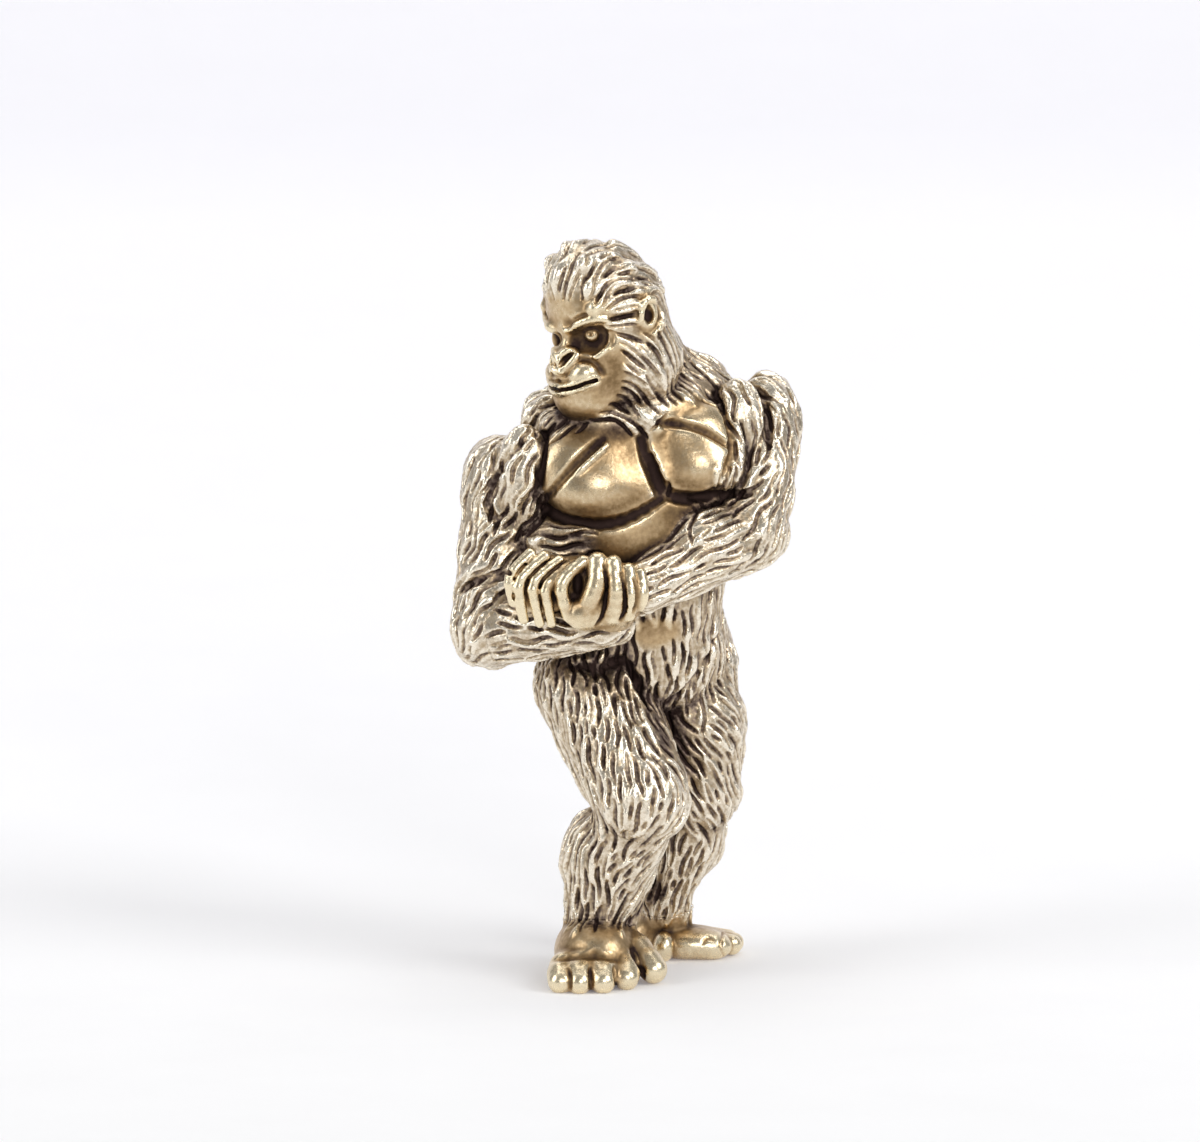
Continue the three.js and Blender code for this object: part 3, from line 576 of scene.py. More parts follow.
def press_head(pellet, side=1, carve=False):
    """A pellet or a hole on the head; a side of -1 mirrors it."""
    forward, left, up = pellet.place
    clay.work(egg(on_head(forward, left * side, up), pellet.radii, HEAD), pellet.blend, carve)


# The face, modelled on the bare head: its near side traced over the photograph, its far side mostly
# a mirror of that.
BROW = [(3.6, 3.5, 0.65), (4.3, 2.8, 0.6), (4.9, 1.9, 0.4), (5.1, 0.9, -0.05), (5.14, 0.0, -0.33)]
BROW_POINTS = 9
BROW_RADIUS = 0.5
BROW_BLEND = 0.6
BROW_ROLL = Stroke(
    [(566, 332), (574, 328), (582, 324.5), (592, 322), (601, 321), (609, 323)],
    points=11, radius=0.25, blend=0.25, depth=0.02,
)
BROW_CREASE = Stroke(
    [(571, 324), (578, 319.5), (587, 316.5), (597, 315.5), (605, 317)],
    points=9, radius=0.17, blend=0.2, depth=0.05, tip=0.4,
)
FROWN = Pellet((565, 326), (0.62, 0.5, 0.52), blend=0.4, depth=-0.4)
FAR_BROW = Pellet((5.6, -1.4, -0.4), (0.7, 0.45, 0.45), blend=0.5)
FAR_CHEEK = Pellet((4.8, -1.7, -1.5), (0.6, 0.5, 0.9), blend=0.4)
SOCKET = Stroke(
    [(578, 344), (591, 342), (603, 340)],
    points=3, radius=[1.0, 1.3, 1.1], blend=0.3, depth=-0.2,
)
FAR_SOCKET = Pellet((559, 341), (0.42, 0.42, 0.6), blend=0.15)
SOCKET_RIM = Stroke(
    [(607, 328), (611, 336), (610, 345), (605, 352), (598, 358), (593, 361)],
    points=11, radius=0.18, blend=0.22,
)
EYE = Pellet((591, 336), (0.72, 0.72, 0.72), blend=0.05, depth=0.15)
PUPIL = Stroke([(590, 336), (591, 336)], points=2, radius=0.2, blend=0.06)
MUZZLE_CREASE = Stroke(
    [(579, 361), (588, 363.5), (597, 368), (603, 375)],
    points=9, radius=0.16, blend=0.5, depth=-0.08, tip=0.4,
)
NOSTRIL_RING = Stroke(
    [(555, 367), (557, 360), (566, 353), (574, 353), (576, 358), (569, 367), (562, 371), (556, 371),
     (555, 367)],
    points=20, radius=0.22, blend=0.3, depth=-0.02,
)
NOSTRIL = Stroke(
    [(560, 367), (566, 361), (572, 356)],
    points=5, radius=[0.2, 0.26, 0.28, 0.26, 0.2], blend=0.1, depth=0.16,
)
FAR_NOSTRIL = Pellet((551.5, 363), (0.22, 0.22, 0.4), blend=0.1)
LIP_FOLDS = [
    Stroke(line, points=7, radius=0.12, blend=0.2, depth=0.02)
    for line in (
        [(556, 376), (563, 378), (570, 374), (576, 367)],
        [(557, 383), (564, 384), (572, 380)],
    )
]
UPPER_LIP = Stroke([(577, 378), (583, 374), (589, 374)], points=5, radius=0.64, blend=0.6, depth=0.48)
MOUTH_LINE = [(555, 391.5), (564, 391), (576, 389), (588, 385), (597, 382)]
LIPS = Stroke(MOUTH_LINE, points=11, radius=0.34, blend=0.5, depth=0.22, tip=0.5)
MOUTH_CUT_RADIUS = 0.22
MOUTH_CUT_BLEND = 0.08
MOUTH_CUT_DEPTHS = (0.03, 0.22)
EAR = Pellet((-0.35, 4.5, 0.4), (0.75, 1.05, 1.55), blend=0.4)
EAR_RIM = Stroke(
    [(641, 321), (642, 309), (649, 301), (657, 307), (661, 320), (657, 331), (653, 336)],
    points=14, radius=0.25, blend=0.2, depth=-0.1,
)
EAR_HOLLOW = Pellet((-0.15, 5.25, 0.35), (0.75, 0.55, 0.9), blend=0.12)

draw_face(SOCKET, carve=True)
brow = [on_head(*place) for place in curve(BROW, BROW_POINTS)]
for line in (brow, mirrored(brow)):
    for form in chain(list(line), BROW_RADIUS):
        clay.work(form, BROW_BLEND)
draw_face(BROW_ROLL)
draw_face(BROW_CREASE, carve=True)
press_seen(FROWN)
press_head(FAR_BROW)
press_head(FAR_CHEEK)
draw_face(SOCKET_RIM)
draw_face(MUZZLE_CREASE, carve=True)
for eye in on_both_sides([EYE.place]):
    clay.work(egg(eye[0] + EYE.depth * FACE_BACK, EYE.radii), EYE.blend)
draw_face(PUPIL, carve=True)
draw_face(NOSTRIL_RING)
draw_face(NOSTRIL, carve=True)
for fold in LIP_FOLDS:
    draw_face(fold, carve=True)
draw_face(UPPER_LIP)
draw_face(LIPS)
mouth = on_both_sides(curve(MOUTH_LINE, LIPS.points))
for depth in MOUTH_CUT_DEPTHS:
    for line in mouth:
        clay.draw(line, MOUTH_CUT_RADIUS, MOUTH_CUT_BLEND, carve=True, depth=depth)
press_seen(FAR_NOSTRIL)
press_seen(FAR_SOCKET)
for side in (1, -1):
    press_head(EAR, side)
draw_face(EAR_RIM)
for side in (1, -1):
    press_head(EAR_HOLLOW, side, carve=True)

# The chest: the groove across each breast and the rim beside one, the breastbone, and the folds under
# the breasts.
BREAST_GROOVE_RIGHT = [(603, 440), (585, 456), (567, 474), (547, 498)]
BREAST_GROOVE_LEFT = [(656, 424), (680, 425), (705, 432), (729, 447)]
BREASTBONE = [(640, 432), (645, 455), (653, 477), (662, 500)]
BREAST_FOLD_RIGHT = [(538, 503), (556, 516), (577, 523), (600, 525), (622, 521), (645, 510), (661, 499)]
BREAST_FOLD_LEFT = [(650, 458), (658, 482), (670, 495), (686, 499), (704, 497), (722, 486)]
BREAST_RIM = Stroke([(606, 446), (592, 459), (577, 473)], points=7, radius=0.24, blend=0.4, depth=0.1)
FOLDS = [
    Stroke(line, points=13, radius=radius, blend=0.5, depth=0.02, tip=0.4)
    for line, radius in (
        (BREAST_GROOVE_RIGHT, 0.22), (BREAST_GROOVE_LEFT, 0.2),
        (BREASTBONE, 0.34), (BREAST_FOLD_RIGHT, 0.36), (BREAST_FOLD_LEFT, 0.38),
    )
]
draw_seen(BREAST_RIM)
for fold in FOLDS:
    draw_seen(fold, carve=True)

# The deep lines between the muscles of the arms and at the groin, and the hollow of the lap.
MUSCLE_LINES = [
    Stroke(line, points=11, radius=radius, blend=0.4, depth=0.12, tip=0.3)
    for line, radius in (
        ([(546, 437), (541, 470), (536, 500)], 0.3),
        ([(525, 440), (500, 470), (487, 500), (498, 525)], 0.36),
        ([(455, 590), (470, 584), (490, 578), (511, 573)], 0.42),
        ([(757, 388), (768, 407), (769, 445)], 0.38),
        ([(715, 394), (727, 419), (733, 443), (731, 461), (721, 476)], 0.4),
        ([(690, 498), (720, 496), (750, 494)], 0.34),
        ([(570, 664), (598, 668), (621, 662), (636, 682), (650, 708)], 0.42),
        ([(718, 632), (706, 660), (690, 682), (668, 704)], 0.34),
    )
]
LAP = egg((-1.2, -7.4, 27.9), (3.6, 2.4, 1.5))
LAP_BLEND = 0.8
for stroke in MUSCLE_LINES:
    draw_seen(stroke, carve=True)
clay.work(LAP, LAP_BLEND, carve=True)

# The gaps between fingers and between toes, the crease above the right toes, and the edge of a nail and
# the line of the toes on the left foot.
FINGER_GAP_POINTS = 9
FINGER_GAP_RADIUS = 0.15
FINGER_GAP_BLEND = 0.08
FINGER_GAP_DEPTH = 0.04
FIST_HOLE = Pellet((578, 584), (0.45, 0.6, 0.95), blend=0.2)
FIST_GAPS = [
    Stroke(line, points=9, radius=0.17, blend=0.14, depth=0.07, tip=0.5)
    for line in (
        [(604, 566), (606, 580), (606, 596), (602, 616), (596, 625)],
        [(621, 573), (624, 590), (625, 608), (620, 619)],
        [(634, 578), (637, 592), (636, 604), (633, 612)],
    )
]
TOE_GAPS = [
    Stroke(line, points=9, radius=0.15, blend=0.2, depth=0.03, tip=0.5)
    for line in (
        [(569, 968), (570, 978), (570, 988)],
        [(590, 967), (591, 977), (591, 988)],
        [(614, 966), (615, 976), (616, 986)],
    )
]
GREAT_TOE_GAP = Stroke(
    [(632, 950), (637, 960), (641, 969), (643, 978)],
    points=9, radius=0.3, blend=0.25, depth=0.1, tip=0.4,
)
TOE_CREASE = Stroke(
    [(556, 958), (575, 955), (598, 954), (617, 958)],
    points=9, radius=0.2, blend=0.6, depth=-0.12, tip=0.4,
)
NAIL = Stroke([(703, 947), (708, 941), (715, 944)], points=7, radius=0.15, blend=0.12, tip=0.4)
TOE_LINE = Stroke([(724, 936), (722, 949), (725, 960)], points=7, radius=0.15, blend=0.12, tip=0.4)
for first, second in zip(LEFT_FINGERS, LEFT_FINGERS[1:]):
    between = 0.5 * (curve(first, FINGER_GAP_POINTS) + curve(second, FINGER_GAP_POINTS))
    clay.draw(between, FINGER_GAP_RADIUS, FINGER_GAP_BLEND, carve=True, depth=FINGER_GAP_DEPTH)
press_seen(FIST_HOLE)
for stroke in FIST_GAPS + TOE_GAPS + [GREAT_TOE_GAP, TOE_CREASE, NAIL, TOE_LINE]:
    draw_seen(stroke, carve=True)

# Where the skin is bare: whole hands and feet, and these places on the torso and the head. The hair
# comes down to a hairline on each foot.
BARE_ZONES = [
    # The breasts, the lower belly and the upper belly.
    ("torso", egg((-2.4, -4.4, 44.4), (6.2, 4.2, 4.7), BODY)),
    ("torso", egg((5.0, -2.3, 46.4), (4.3, 4.2, 4.8), BODY)),
    ("torso", egg((2.4, -5.0, 30.9), (1.9, 2.4, 1.0), BODY)),
    ("torso", egg((2.2, -6.0, 39.6), (5.0, 3.6, 3.4), BODY)),
    # The face, the brow and the ears.
    ("head", egg(on_head(5.0, 0, -3.6), (5.0, 4.7, 5.2), HEAD)),
    ("head", egg(on_head(5.0, 0, 0.6), (4.8, 2.9, 1.6), HEAD)),
    ("head", egg(on_head(-0.3, 5.0, 0.4), (1.0, 1.2, 1.8), HEAD)),
    ("head", egg(on_head(-0.3, -5.0, 0.4), (1.0, 1.2, 1.8), HEAD)),
]
ZONE_MARGIN = 1.0
ALL_BARE = -1.0
FOOT_HAIRLINES = {"right_foot": 4.8, "left_foot": 3.4}
bare = np.full(tuple(clay.count), FAR, dtype=np.float32)
for name, form in BARE_ZONES:
    part, x, y, z = clay.window(form[0] - ZONE_MARGIN, form[1] + ZONE_MARGIN)
    here = clay.owner[part] == PIECE_NUMBER[name]
    bare[part] = np.where(here, np.minimum(bare[part], form[2](x, y, z)), bare[part])
for name, _, _, hair in CASTINGS:
    if hair is None:
        bare[clay.owner == PIECE_NUMBER[name]] = ALL_BARE
height = np.broadcast_to(clay.axes[2][None, None, :], tuple(clay.count))
for name, hairline in FOOT_HAIRLINES.items():
    mine = clay.owner == PIECE_NUMBER[name]
    bare[mine] = height[mine] - hairline

# The main locks of the back and the crown, where the solids have them, in rows around the body and
# over the head. Steps and spreads are degrees.
MAIN_LOCK_RADIUS = 0.75
MAIN_LOCK_TIP = 0.5
MAIN_LOCK_SINK = 0.2
MAIN_LOCK_BLEND = 0.45
BACK_LOCK_LENGTH = 4.2
BACK_LOCK_STEP = 27
BACK_ROW_DROP = 5.0
BACK_ROW_TOP = 50.4
BACK_ROW_SPREADS = [60, 70, 75, 95, 95]
BACK_HEART = (1.0, 2.3)
CROWN_LOCK_STEP = 26
CROWN_SPREAD = 80
CROWN_ROWS = [(4.4, 1.2), (0.4, -2.8)]
CROWN_HEIGHT = 0.6
SKIN_REACH = 16.0
ANGLE_CARE = 0.01


def under_skin(heart, way):
    """The place just under the skin, straight out from a place inside."""
    steps = np.arange(0.0, SKIN_REACH, CLAY_GRAIN / 2)
    track = np.asarray(heart)[None, :] + steps[:, None] * way[None, :]
    return track[np.argmax(clay.sample(track) > 0)] - MAIN_LOCK_SINK * way


def row_angles(row, step, spread):
    """The angles of the locks in one row, shifted by half a step in every other row."""
    first = -(spread // step) * step + (row % 2) * step / 2
    return np.radians(np.arange(first, spread + ANGLE_CARE, step))


def on_back(height, angle):
    """A place on the back, at an angle from straight behind."""
    turn = math.radians(BODY_TURN) + angle
    return under_skin((*BACK_HEART, height), np.array([-math.sin(turn), math.cos(turn), 0.0]))


def on_crown(forward, angle):
    """A place on the crown, at an angle from straight up."""
    way = math.sin(angle) * FACE_LEFT + math.cos(angle) * FACE_UP
    return under_skin(on_head(forward, 0.0, CROWN_HEIGHT), way)


main_locks = []
for row, spread in enumerate(BACK_ROW_SPREADS):
    top = BACK_ROW_TOP - row * BACK_ROW_DROP
    for angle in row_angles(row, BACK_LOCK_STEP, spread):
        main_locks.append((on_back(top, angle), on_back(top - BACK_LOCK_LENGTH, angle)))
for row, (start, end) in enumerate(CROWN_ROWS):
    for angle in row_angles(row, CROWN_LOCK_STEP, CROWN_SPREAD):
        main_locks.append((on_crown(start, angle), on_crown(end, angle)))
for root, tip in main_locks:
    clay.work(rod(root, tip, MAIN_LOCK_RADIUS, MAIN_LOCK_TIP), MAIN_LOCK_BLEND)

# The hair: strokes of a graver, spaced evenly over the skin and tapered at both ends, on locks that
# are raised first. Roots lie a little past the hairline and above the floor.
STROKE_SEED = 7
STROKE_STEP = 0.36
STROKE_POINTS = 20
STROKE_CANDIDATES = 90000
STROKE_DEPTH = 0.09
STROKE_BLEND = 0.13
STROKE_TIP = 0.3
STROKE_END_GAP = 1
STROKE_MOVE = 0.3
FILL_SHARE = 0.5
ROOT_HAIRLINE = 0.1
ROOT_LOWEST = 1.0
ROOT_ROUNDS = 3
EDGE_POINTS = 4
COMB_REACH = 1.5
COMB_POWER = 1.5
LOCK_CANDIDATES = 25000
LOCK_SPACING = 2.0
LOCK_RADIUS = 0.38
LOCK_DEPTH = 0.22
LOCK_BLEND = 0.28
LOCK_TIP = 0.55
LOCK_OVERRUN = 2

# How the start of a swing changes over the figure: two waves, with their heights, what each gains in a
# millimetre along an axis, and where the second starts.
FIRST_WAVE = 2.4
FIRST_WAVE_ACROSS = 0.55
FIRST_WAVE_UP = 0.4
SECOND_WAVE = 2.0
SECOND_WAVE_DEEP = 0.5
SECOND_WAVE_DOWN = 0.45
SECOND_WAVE_START = 1.3
LEAST_SWING_LENGTH = 0.1

# How the hair of the head turns as it runs back: where a turn starts and over what length it grows,
# measured forward, back, up or down from the middle of the skull, and how strong it is.
BROW_LIFT = 2.4
BROW_LIFT_FORWARD = (2.0, 3.0)
BROW_LIFT_UP = (0.4, 2.0)
NAPE_FALL = 1.6
NAPE_FALL_BACK = (0.8, 3.0)
CHEEK_FALL = 1.3
CHEEK_FALL_DOWN = (-0.2, 3.0)
CHEEK_FALL_BACK = (-3.4, 3.0)
SIDE_SPREAD = 0.25
SIDE_SPREAD_OUT = (0.0, 3.0)

skin = clay.level.copy()


def growing(value, start, length):
    """From 0 at the start to 1 a length further on."""
    return np.clip((value - start) / length, 0, 1)


def head_comb(places):
    """Hair rises off the brow, runs back over the crown and falls down the nape and the cheeks."""
    local = places - SKULL
    forward = -(local @ FACE_BACK)
    side = local @ FACE_LEFT
    up = local @ FACE_UP
    lift = growing(forward, *BROW_LIFT_FORWARD) * growing(up, *BROW_LIFT_UP) * BROW_LIFT
    fall = growing(-forward, *NAPE_FALL_BACK) * NAPE_FALL
    fall += growing(-up, *CHEEK_FALL_DOWN) * growing(-forward, *CHEEK_FALL_BACK) * CHEEK_FALL
    way = FACE_BACK[None, :] + (lift - fall)[:, None] * FACE_UP[None, :]
    spread = SIDE_SPREAD * np.sign(side) * growing(np.abs(side), *SIDE_SPREAD_OUT)
    return way + spread[:, None] * FACE_LEFT[None, :]


def combed(places, owners):
    """The way the hair lies at each place, before it waves."""
    way = np.zeros((len(places), 3))
    mine = owners == PIECE_NUMBER["head"]
    way[mine] = head_comb(places[mine])
    for name, marks in COMBS.items():
        mine = owners == PIECE_NUMBER[name]
        for mark, lie in marks:
            gap = np.sum((places[mine] - np.array(mark)) ** 2, axis=1)
            lie = np.array(lie) / np.linalg.norm(lie)
            way[mine] += lie[None, :] / (gap + COMB_REACH ** 2)[:, None] ** COMB_POWER
    return way


def owners_at(places):
    """The number of the piece that each place is on."""
    spot = np.clip(np.rint((places - clay.low) / CLAY_GRAIN).astype(int), 0, clay.count - 1)
    return clay.owner[spot[:, 0], spot[:, 1], spot[:, 2]]


def number_per_piece(figure):
    """One figure of the hair for each piece number."""
    table = np.zeros(len(CASTINGS) + 1)
    for name, _, _, hair in CASTINGS:
        table[PIECE_NUMBER[name]] = getattr(hair, figure) if hair else 0.0
    return table


SPACING = number_per_piece("spacing")
RADIUS = number_per_piece("radius")
SHORTEST = number_per_piece("shortest")
LONGEST = number_per_piece("longest")
SWING = number_per_piece("swing")
SWING_LENGTH = number_per_piece("swing_length")


def stroke_roots(chance, count):
    """Random places on the hairy skin."""
    near = np.argwhere((np.abs(skin) < CLAY_GRAIN) & (bare > ROOT_HAIRLINE) & (clay.owner > 0))
    picked = near[chance.integers(0, len(near), count)]
    places = clay.low + CLAY_GRAIN * (picked + chance.random((count, 3)) - 0.5)
    places = clay.settle(places, skin, ROOT_ROUNDS)
    places = places[places[:, 2] > ROOT_LOWEST]
    on_the_head = owners_at(places) == PIECE_NUMBER["head"]
    from_hairline = np.where(on_the_head, clay.sample(places, bare), FAR)
    return places[np.argsort(from_hairline, kind="stable")]


def trace(places):
    """Follow the hair from each root; the waves of neighbours swing together."""
    owners = owners_at(places)
    x, y, z = places[:, 0], places[:, 1], places[:, 2]
    phase = FIRST_WAVE * np.sin(FIRST_WAVE_ACROSS * x + FIRST_WAVE_UP * z)
    phase += SECOND_WAVE * np.sin(SECOND_WAVE_DEEP * y - SECOND_WAVE_DOWN * z + SECOND_WAVE_START)
    track = [places]
    for step in range(1, STROKE_POINTS):
        here = track[-1]
        normal = clay.normal(here, skin)
        way = combed(here, owners)
        way -= normal * np.sum(way * normal, axis=1, keepdims=True)
        way /= np.maximum(np.linalg.norm(way, axis=1, keepdims=True), TINY)
        swing_length = np.maximum(SWING_LENGTH[owners], LEAST_SWING_LENGTH)
        turn = 2 * math.pi * step * STROKE_STEP / swing_length + phase
        angle = SWING[owners] * np.sin(turn)
        way = way * np.cos(angle)[:, None] + np.cross(normal, way) * np.sin(angle)[:, None]
        there = here + STROKE_STEP * way
        gap = np.clip(clay.sample(there, skin), -STROKE_MOVE, STROKE_MOVE)
        track.append(there - clay.normal(there, skin) * gap[:, None])
    return np.stack(track, axis=1), owners


def space_out(tracks, owners, chance, room, overrun, shortest_shares):
    """Keep each stroke as far as it runs clear of those already made, in rounds of shorter ones."""
    taken = np.zeros(tuple(clay.count), dtype=bool)
    spots = np.rint((tracks - clay.low) / CLAY_GRAIN).astype(int)
    spots = np.clip(spots, EDGE_POINTS, clay.count - 1 - EDGE_POINTS)
    free_skin = bare[spots[..., 0], spots[..., 1], spots[..., 2]] > 0.0
    balls = {}
    for spacing in set(SPACING[SPACING > 0]):
        reach = int(math.ceil(room * spacing / CLAY_GRAIN))
        grid = np.mgrid[-reach:reach + 1, -reach:reach + 1, -reach:reach + 1].reshape(3, -1).T
        balls[spacing] = grid[(grid ** 2).sum(axis=1) <= (room * spacing / CLAY_GRAIN) ** 2]
    kept = []
    lengths = chance.random(len(tracks))
    for shortest_share in shortest_shares:
        for i in range(len(tracks)):
            owner = owners[i]
            if RADIUS[owner] <= 0:
                continue
            spot = spots[i]
            hairy = free_skin[i]
            run = len(hairy) if hairy.all() else int(np.argmin(hairy)) + overrun
            clear = ~taken[spot[:, 0], spot[:, 1], spot[:, 2]]
            run = run if clear.all() else min(run, int(np.argmin(clear)))
            wished = SHORTEST[owner] + (LONGEST[owner] - SHORTEST[owner]) * lengths[i]
            run = min(run, len(spot), int(wished / STROKE_STEP) + 1)
            if (run - 1) * STROKE_STEP < SHORTEST[owner] * shortest_share:
                continue
            ball = balls[SPACING[owner]]
            body = spot[STROKE_END_GAP:run - STROKE_END_GAP]
            around = (body[:, None, :] + ball[None, :, :]).reshape(-1, 3)
            around = np.clip(around, 0, clay.count - 1)
            taken[around[:, 0], around[:, 1], around[:, 2]] = True
            kept.append((tracks[i, :run], RADIUS[owner]))
    return kept


chance = np.random.default_rng(STROKE_SEED)
tracks, owners = trace(stroke_roots(chance, LOCK_CANDIDATES))
locks = space_out(tracks, owners, chance, room=LOCK_SPACING, overrun=LOCK_OVERRUN, shortest_shares=[1.0])
for places, _ in locks:
    below = places - clay.normal(places, skin) * LOCK_DEPTH
    for form in chain(list(below), list(LOCK_RADIUS * taper(len(places), LOCK_TIP))):
        clay.work(form, LOCK_BLEND)
skin = clay.level.copy()
tracks, owners = trace(stroke_roots(chance, STROKE_CANDIDATES))
strokes = space_out(tracks, owners, chance, room=1.0, overrun=0, shortest_shares=[1.0, FILL_SHARE])
for places, radius in strokes:
    below = places - clay.normal(places, skin) * STROKE_DEPTH
    for form in chain(list(below), list(radius * taper(len(places), STROKE_TIP))):
        clay.work(form, STROKE_BLEND, carve=True)

# The soles stand flat on the floor.
clay.level = np.maximum(clay.level, -clay.axes[2][None, None, :]).astype(np.float32)


# Casting: each piece's own closed skin out of the clay, seams where the pieces meet. How hollow a place
# is comes from the clay around it, blurred over three reaches by a bell that is cut off at BELL_CUT of
# its widths. The widest is read a short way off the skin, in the air beside it, so that places under
# and between the parts darken with painted shade as well as patina. Fur starts over FUR_EDGE, and the
# net of the skin is evened out in a few rounds.
NEAR_REACH = 0.3
MID_REACH = 0.9
WIDE_REACH = 2.6
BELL_CUT = 2.6
OFF_SKIN_REACH = 2.2
FUR_EDGE = 0.8
RELAX_ROUNDS = 3
RELAX_SHARE = 0.6


def soften(field, reach):
    """A block of values blurred by a bell of so many millimetres."""
    sigma = reach / CLAY_GRAIN
    half = int(math.ceil(BELL_CUT * sigma))
    bell = np.exp(-0.5 * (np.arange(-half, half + 1) / sigma) ** 2)
    bell = (bell / bell.sum()).astype(np.float32)
    for axis in range(3):
        padded = np.pad(field, [(half, half) if i == axis else (0, 0) for i in range(3)], mode="edge")
        found = np.zeros_like(field)
        for i, weight in enumerate(bell):
            part = [slice(None)] * 3
            part[axis] = slice(i, i + field.shape[axis])
            found += weight * padded[tuple(part)]
        field = found
    return field


level = clay.level
label = np.where(level < 0, clay.owner, 0).astype(np.uint8)
solid = np.clip(0.5 - level / (2 * CLAY_GRAIN), 0, 1).astype(np.float32)
near_hollow = soften(solid, NEAR_REACH)
mid_hollow = soften(solid, MID_REACH)
wide_hollow = soften(solid, WIDE_REACH)
EDGES = [(a, b) for a in range(8) for b in range(8)
         if a < b and sum(abs(p - q) for p, q in zip(CORNERS[a], CORNERS[b])) == 1]


def corner_values(field, cells):
    """The field at the eight corners of each cell."""
    x, y, z = cells[:, 0], cells[:, 1], cells[:, 2]
    return np.stack([field[x + i, y + j, z + k] for i, j, k in CORNERS], axis=1)


def mixed_cells():
    """The small cubes whose corners don't all belong to one piece or to the air."""
    mixed = np.zeros(tuple(clay.count - 1), dtype=bool)
    first = label[:-1, :-1, :-1]
    for i, j, k in CORNERS[1:]:
        mixed |= label[i:i + mixed.shape[0], j:j + mixed.shape[1], k:k + mixed.shape[2]] != first
    return mixed


mixed = mixed_cells()
cells = np.argwhere(mixed)
vertex_of = np.full(mixed.shape, -1, dtype=np.int32)
vertex_of[mixed] = np.arange(len(cells))
cell_labels = corner_values(label, cells)
cell_levels = corner_values(level, cells)
outer_sum = np.zeros((len(cells), 3))
inner_sum = np.zeros((len(cells), 3))
outer_count = np.zeros(len(cells))
inner_count = np.zeros(len(cells))
for a, b in EDGES:
    first, second = cell_labels[:, a], cell_labels[:, b]
    outer = (first == 0) != (second == 0)
    inner = (first != second) & ~outer
    fall = cell_levels[:, a] - cell_levels[:, b]
    t = np.clip(cell_levels[:, a] / np.where(np.abs(fall) < TINY, TINY, fall), 0, 1)
    corner_a = np.array(CORNERS[a])
    corner_b = np.array(CORNERS[b])
    outer_sum[outer] += corner_a + t[outer, None] * (corner_b - corner_a)
    outer_count[outer] += 1
    inner_sum[inner] += 0.5 * (corner_a + corner_b)
    inner_count[inner] += 1
inside_cell = np.where(
    outer_count[:, None] > 0,
    outer_sum / np.maximum(outer_count, 1)[:, None],
    inner_sum / np.maximum(inner_count, 1)[:, None],
)
vertices = clay.low + CLAY_GRAIN * (cells + inside_cell)


def walls(axis):
    """Four-sided faces across every edge along one axis whose ends differ, and what they divide."""
    lower = [slice(1, -1)] * 3
    upper = [slice(1, -1)] * 3
    lower[axis] = slice(0, -1)
    upper[axis] = slice(1, None)
    below = label[tuple(lower)]
    above = label[tuple(upper)]
    found = np.argwhere(below != above)
    side_a = below[found[:, 0], found[:, 1], found[:, 2]]
    side_b = above[found[:, 0], found[:, 1], found[:, 2]]
    found = found + 1
    found[:, axis] -= 1
    u = (axis + 1) % 3
    v = (axis + 2) % 3
    corners = []
    for du, dv in ((-1, -1), (0, -1), (0, 0), (-1, 0)):
        cell = found.copy()
        cell[:, u] += du
        cell[:, v] += dv
        corners.append(vertex_of[cell[:, 0], cell[:, 1], cell[:, 2]])
    return np.stack(corners, axis=1), side_a, side_b


all_walls = [walls(axis) for axis in range(3)]


def relax(rounds):
    """Even out the net over the outer skin, and lay it back on the modelled surface."""
    outer = [quads[(side_a == 0) | (side_b == 0)] for quads, side_a, side_b in all_walls]
    outer = np.concatenate(outer)
    start = outer.ravel()
    end = np.roll(outer, 1, axis=1).ravel()
    first = np.concatenate([start, end])
    second = np.concatenate([end, start])
    share = np.maximum(np.bincount(first, minlength=len(vertices)), 1)
    on_skin = np.unique(start)
    for _ in range(rounds):
        for axis in range(3):
            middle = np.bincount(first, vertices[second, axis], len(vertices)) / share
            vertices[on_skin, axis] += RELAX_SHARE * (middle[on_skin] - vertices[on_skin, axis])
        vertices[on_skin] = clay.settle(vertices[on_skin], level, 1)


relax(RELAX_ROUNDS)
vertex_near = clay.sample(vertices, near_hollow)
# The wide reading darkens places under and between the parts: painted shade, together with the patina of
# sheltered places.
outside = vertices - OFF_SKIN_REACH * clay.normal(vertices, mid_hollow)
vertex_patina_and_shade = 0.5 * clay.sample(vertices, mid_hollow) + 0.5 * clay.sample(outside, wide_hollow)
vertex_fur = np.clip(clay.sample(vertices, bare) / FUR_EDGE, 0, 1)
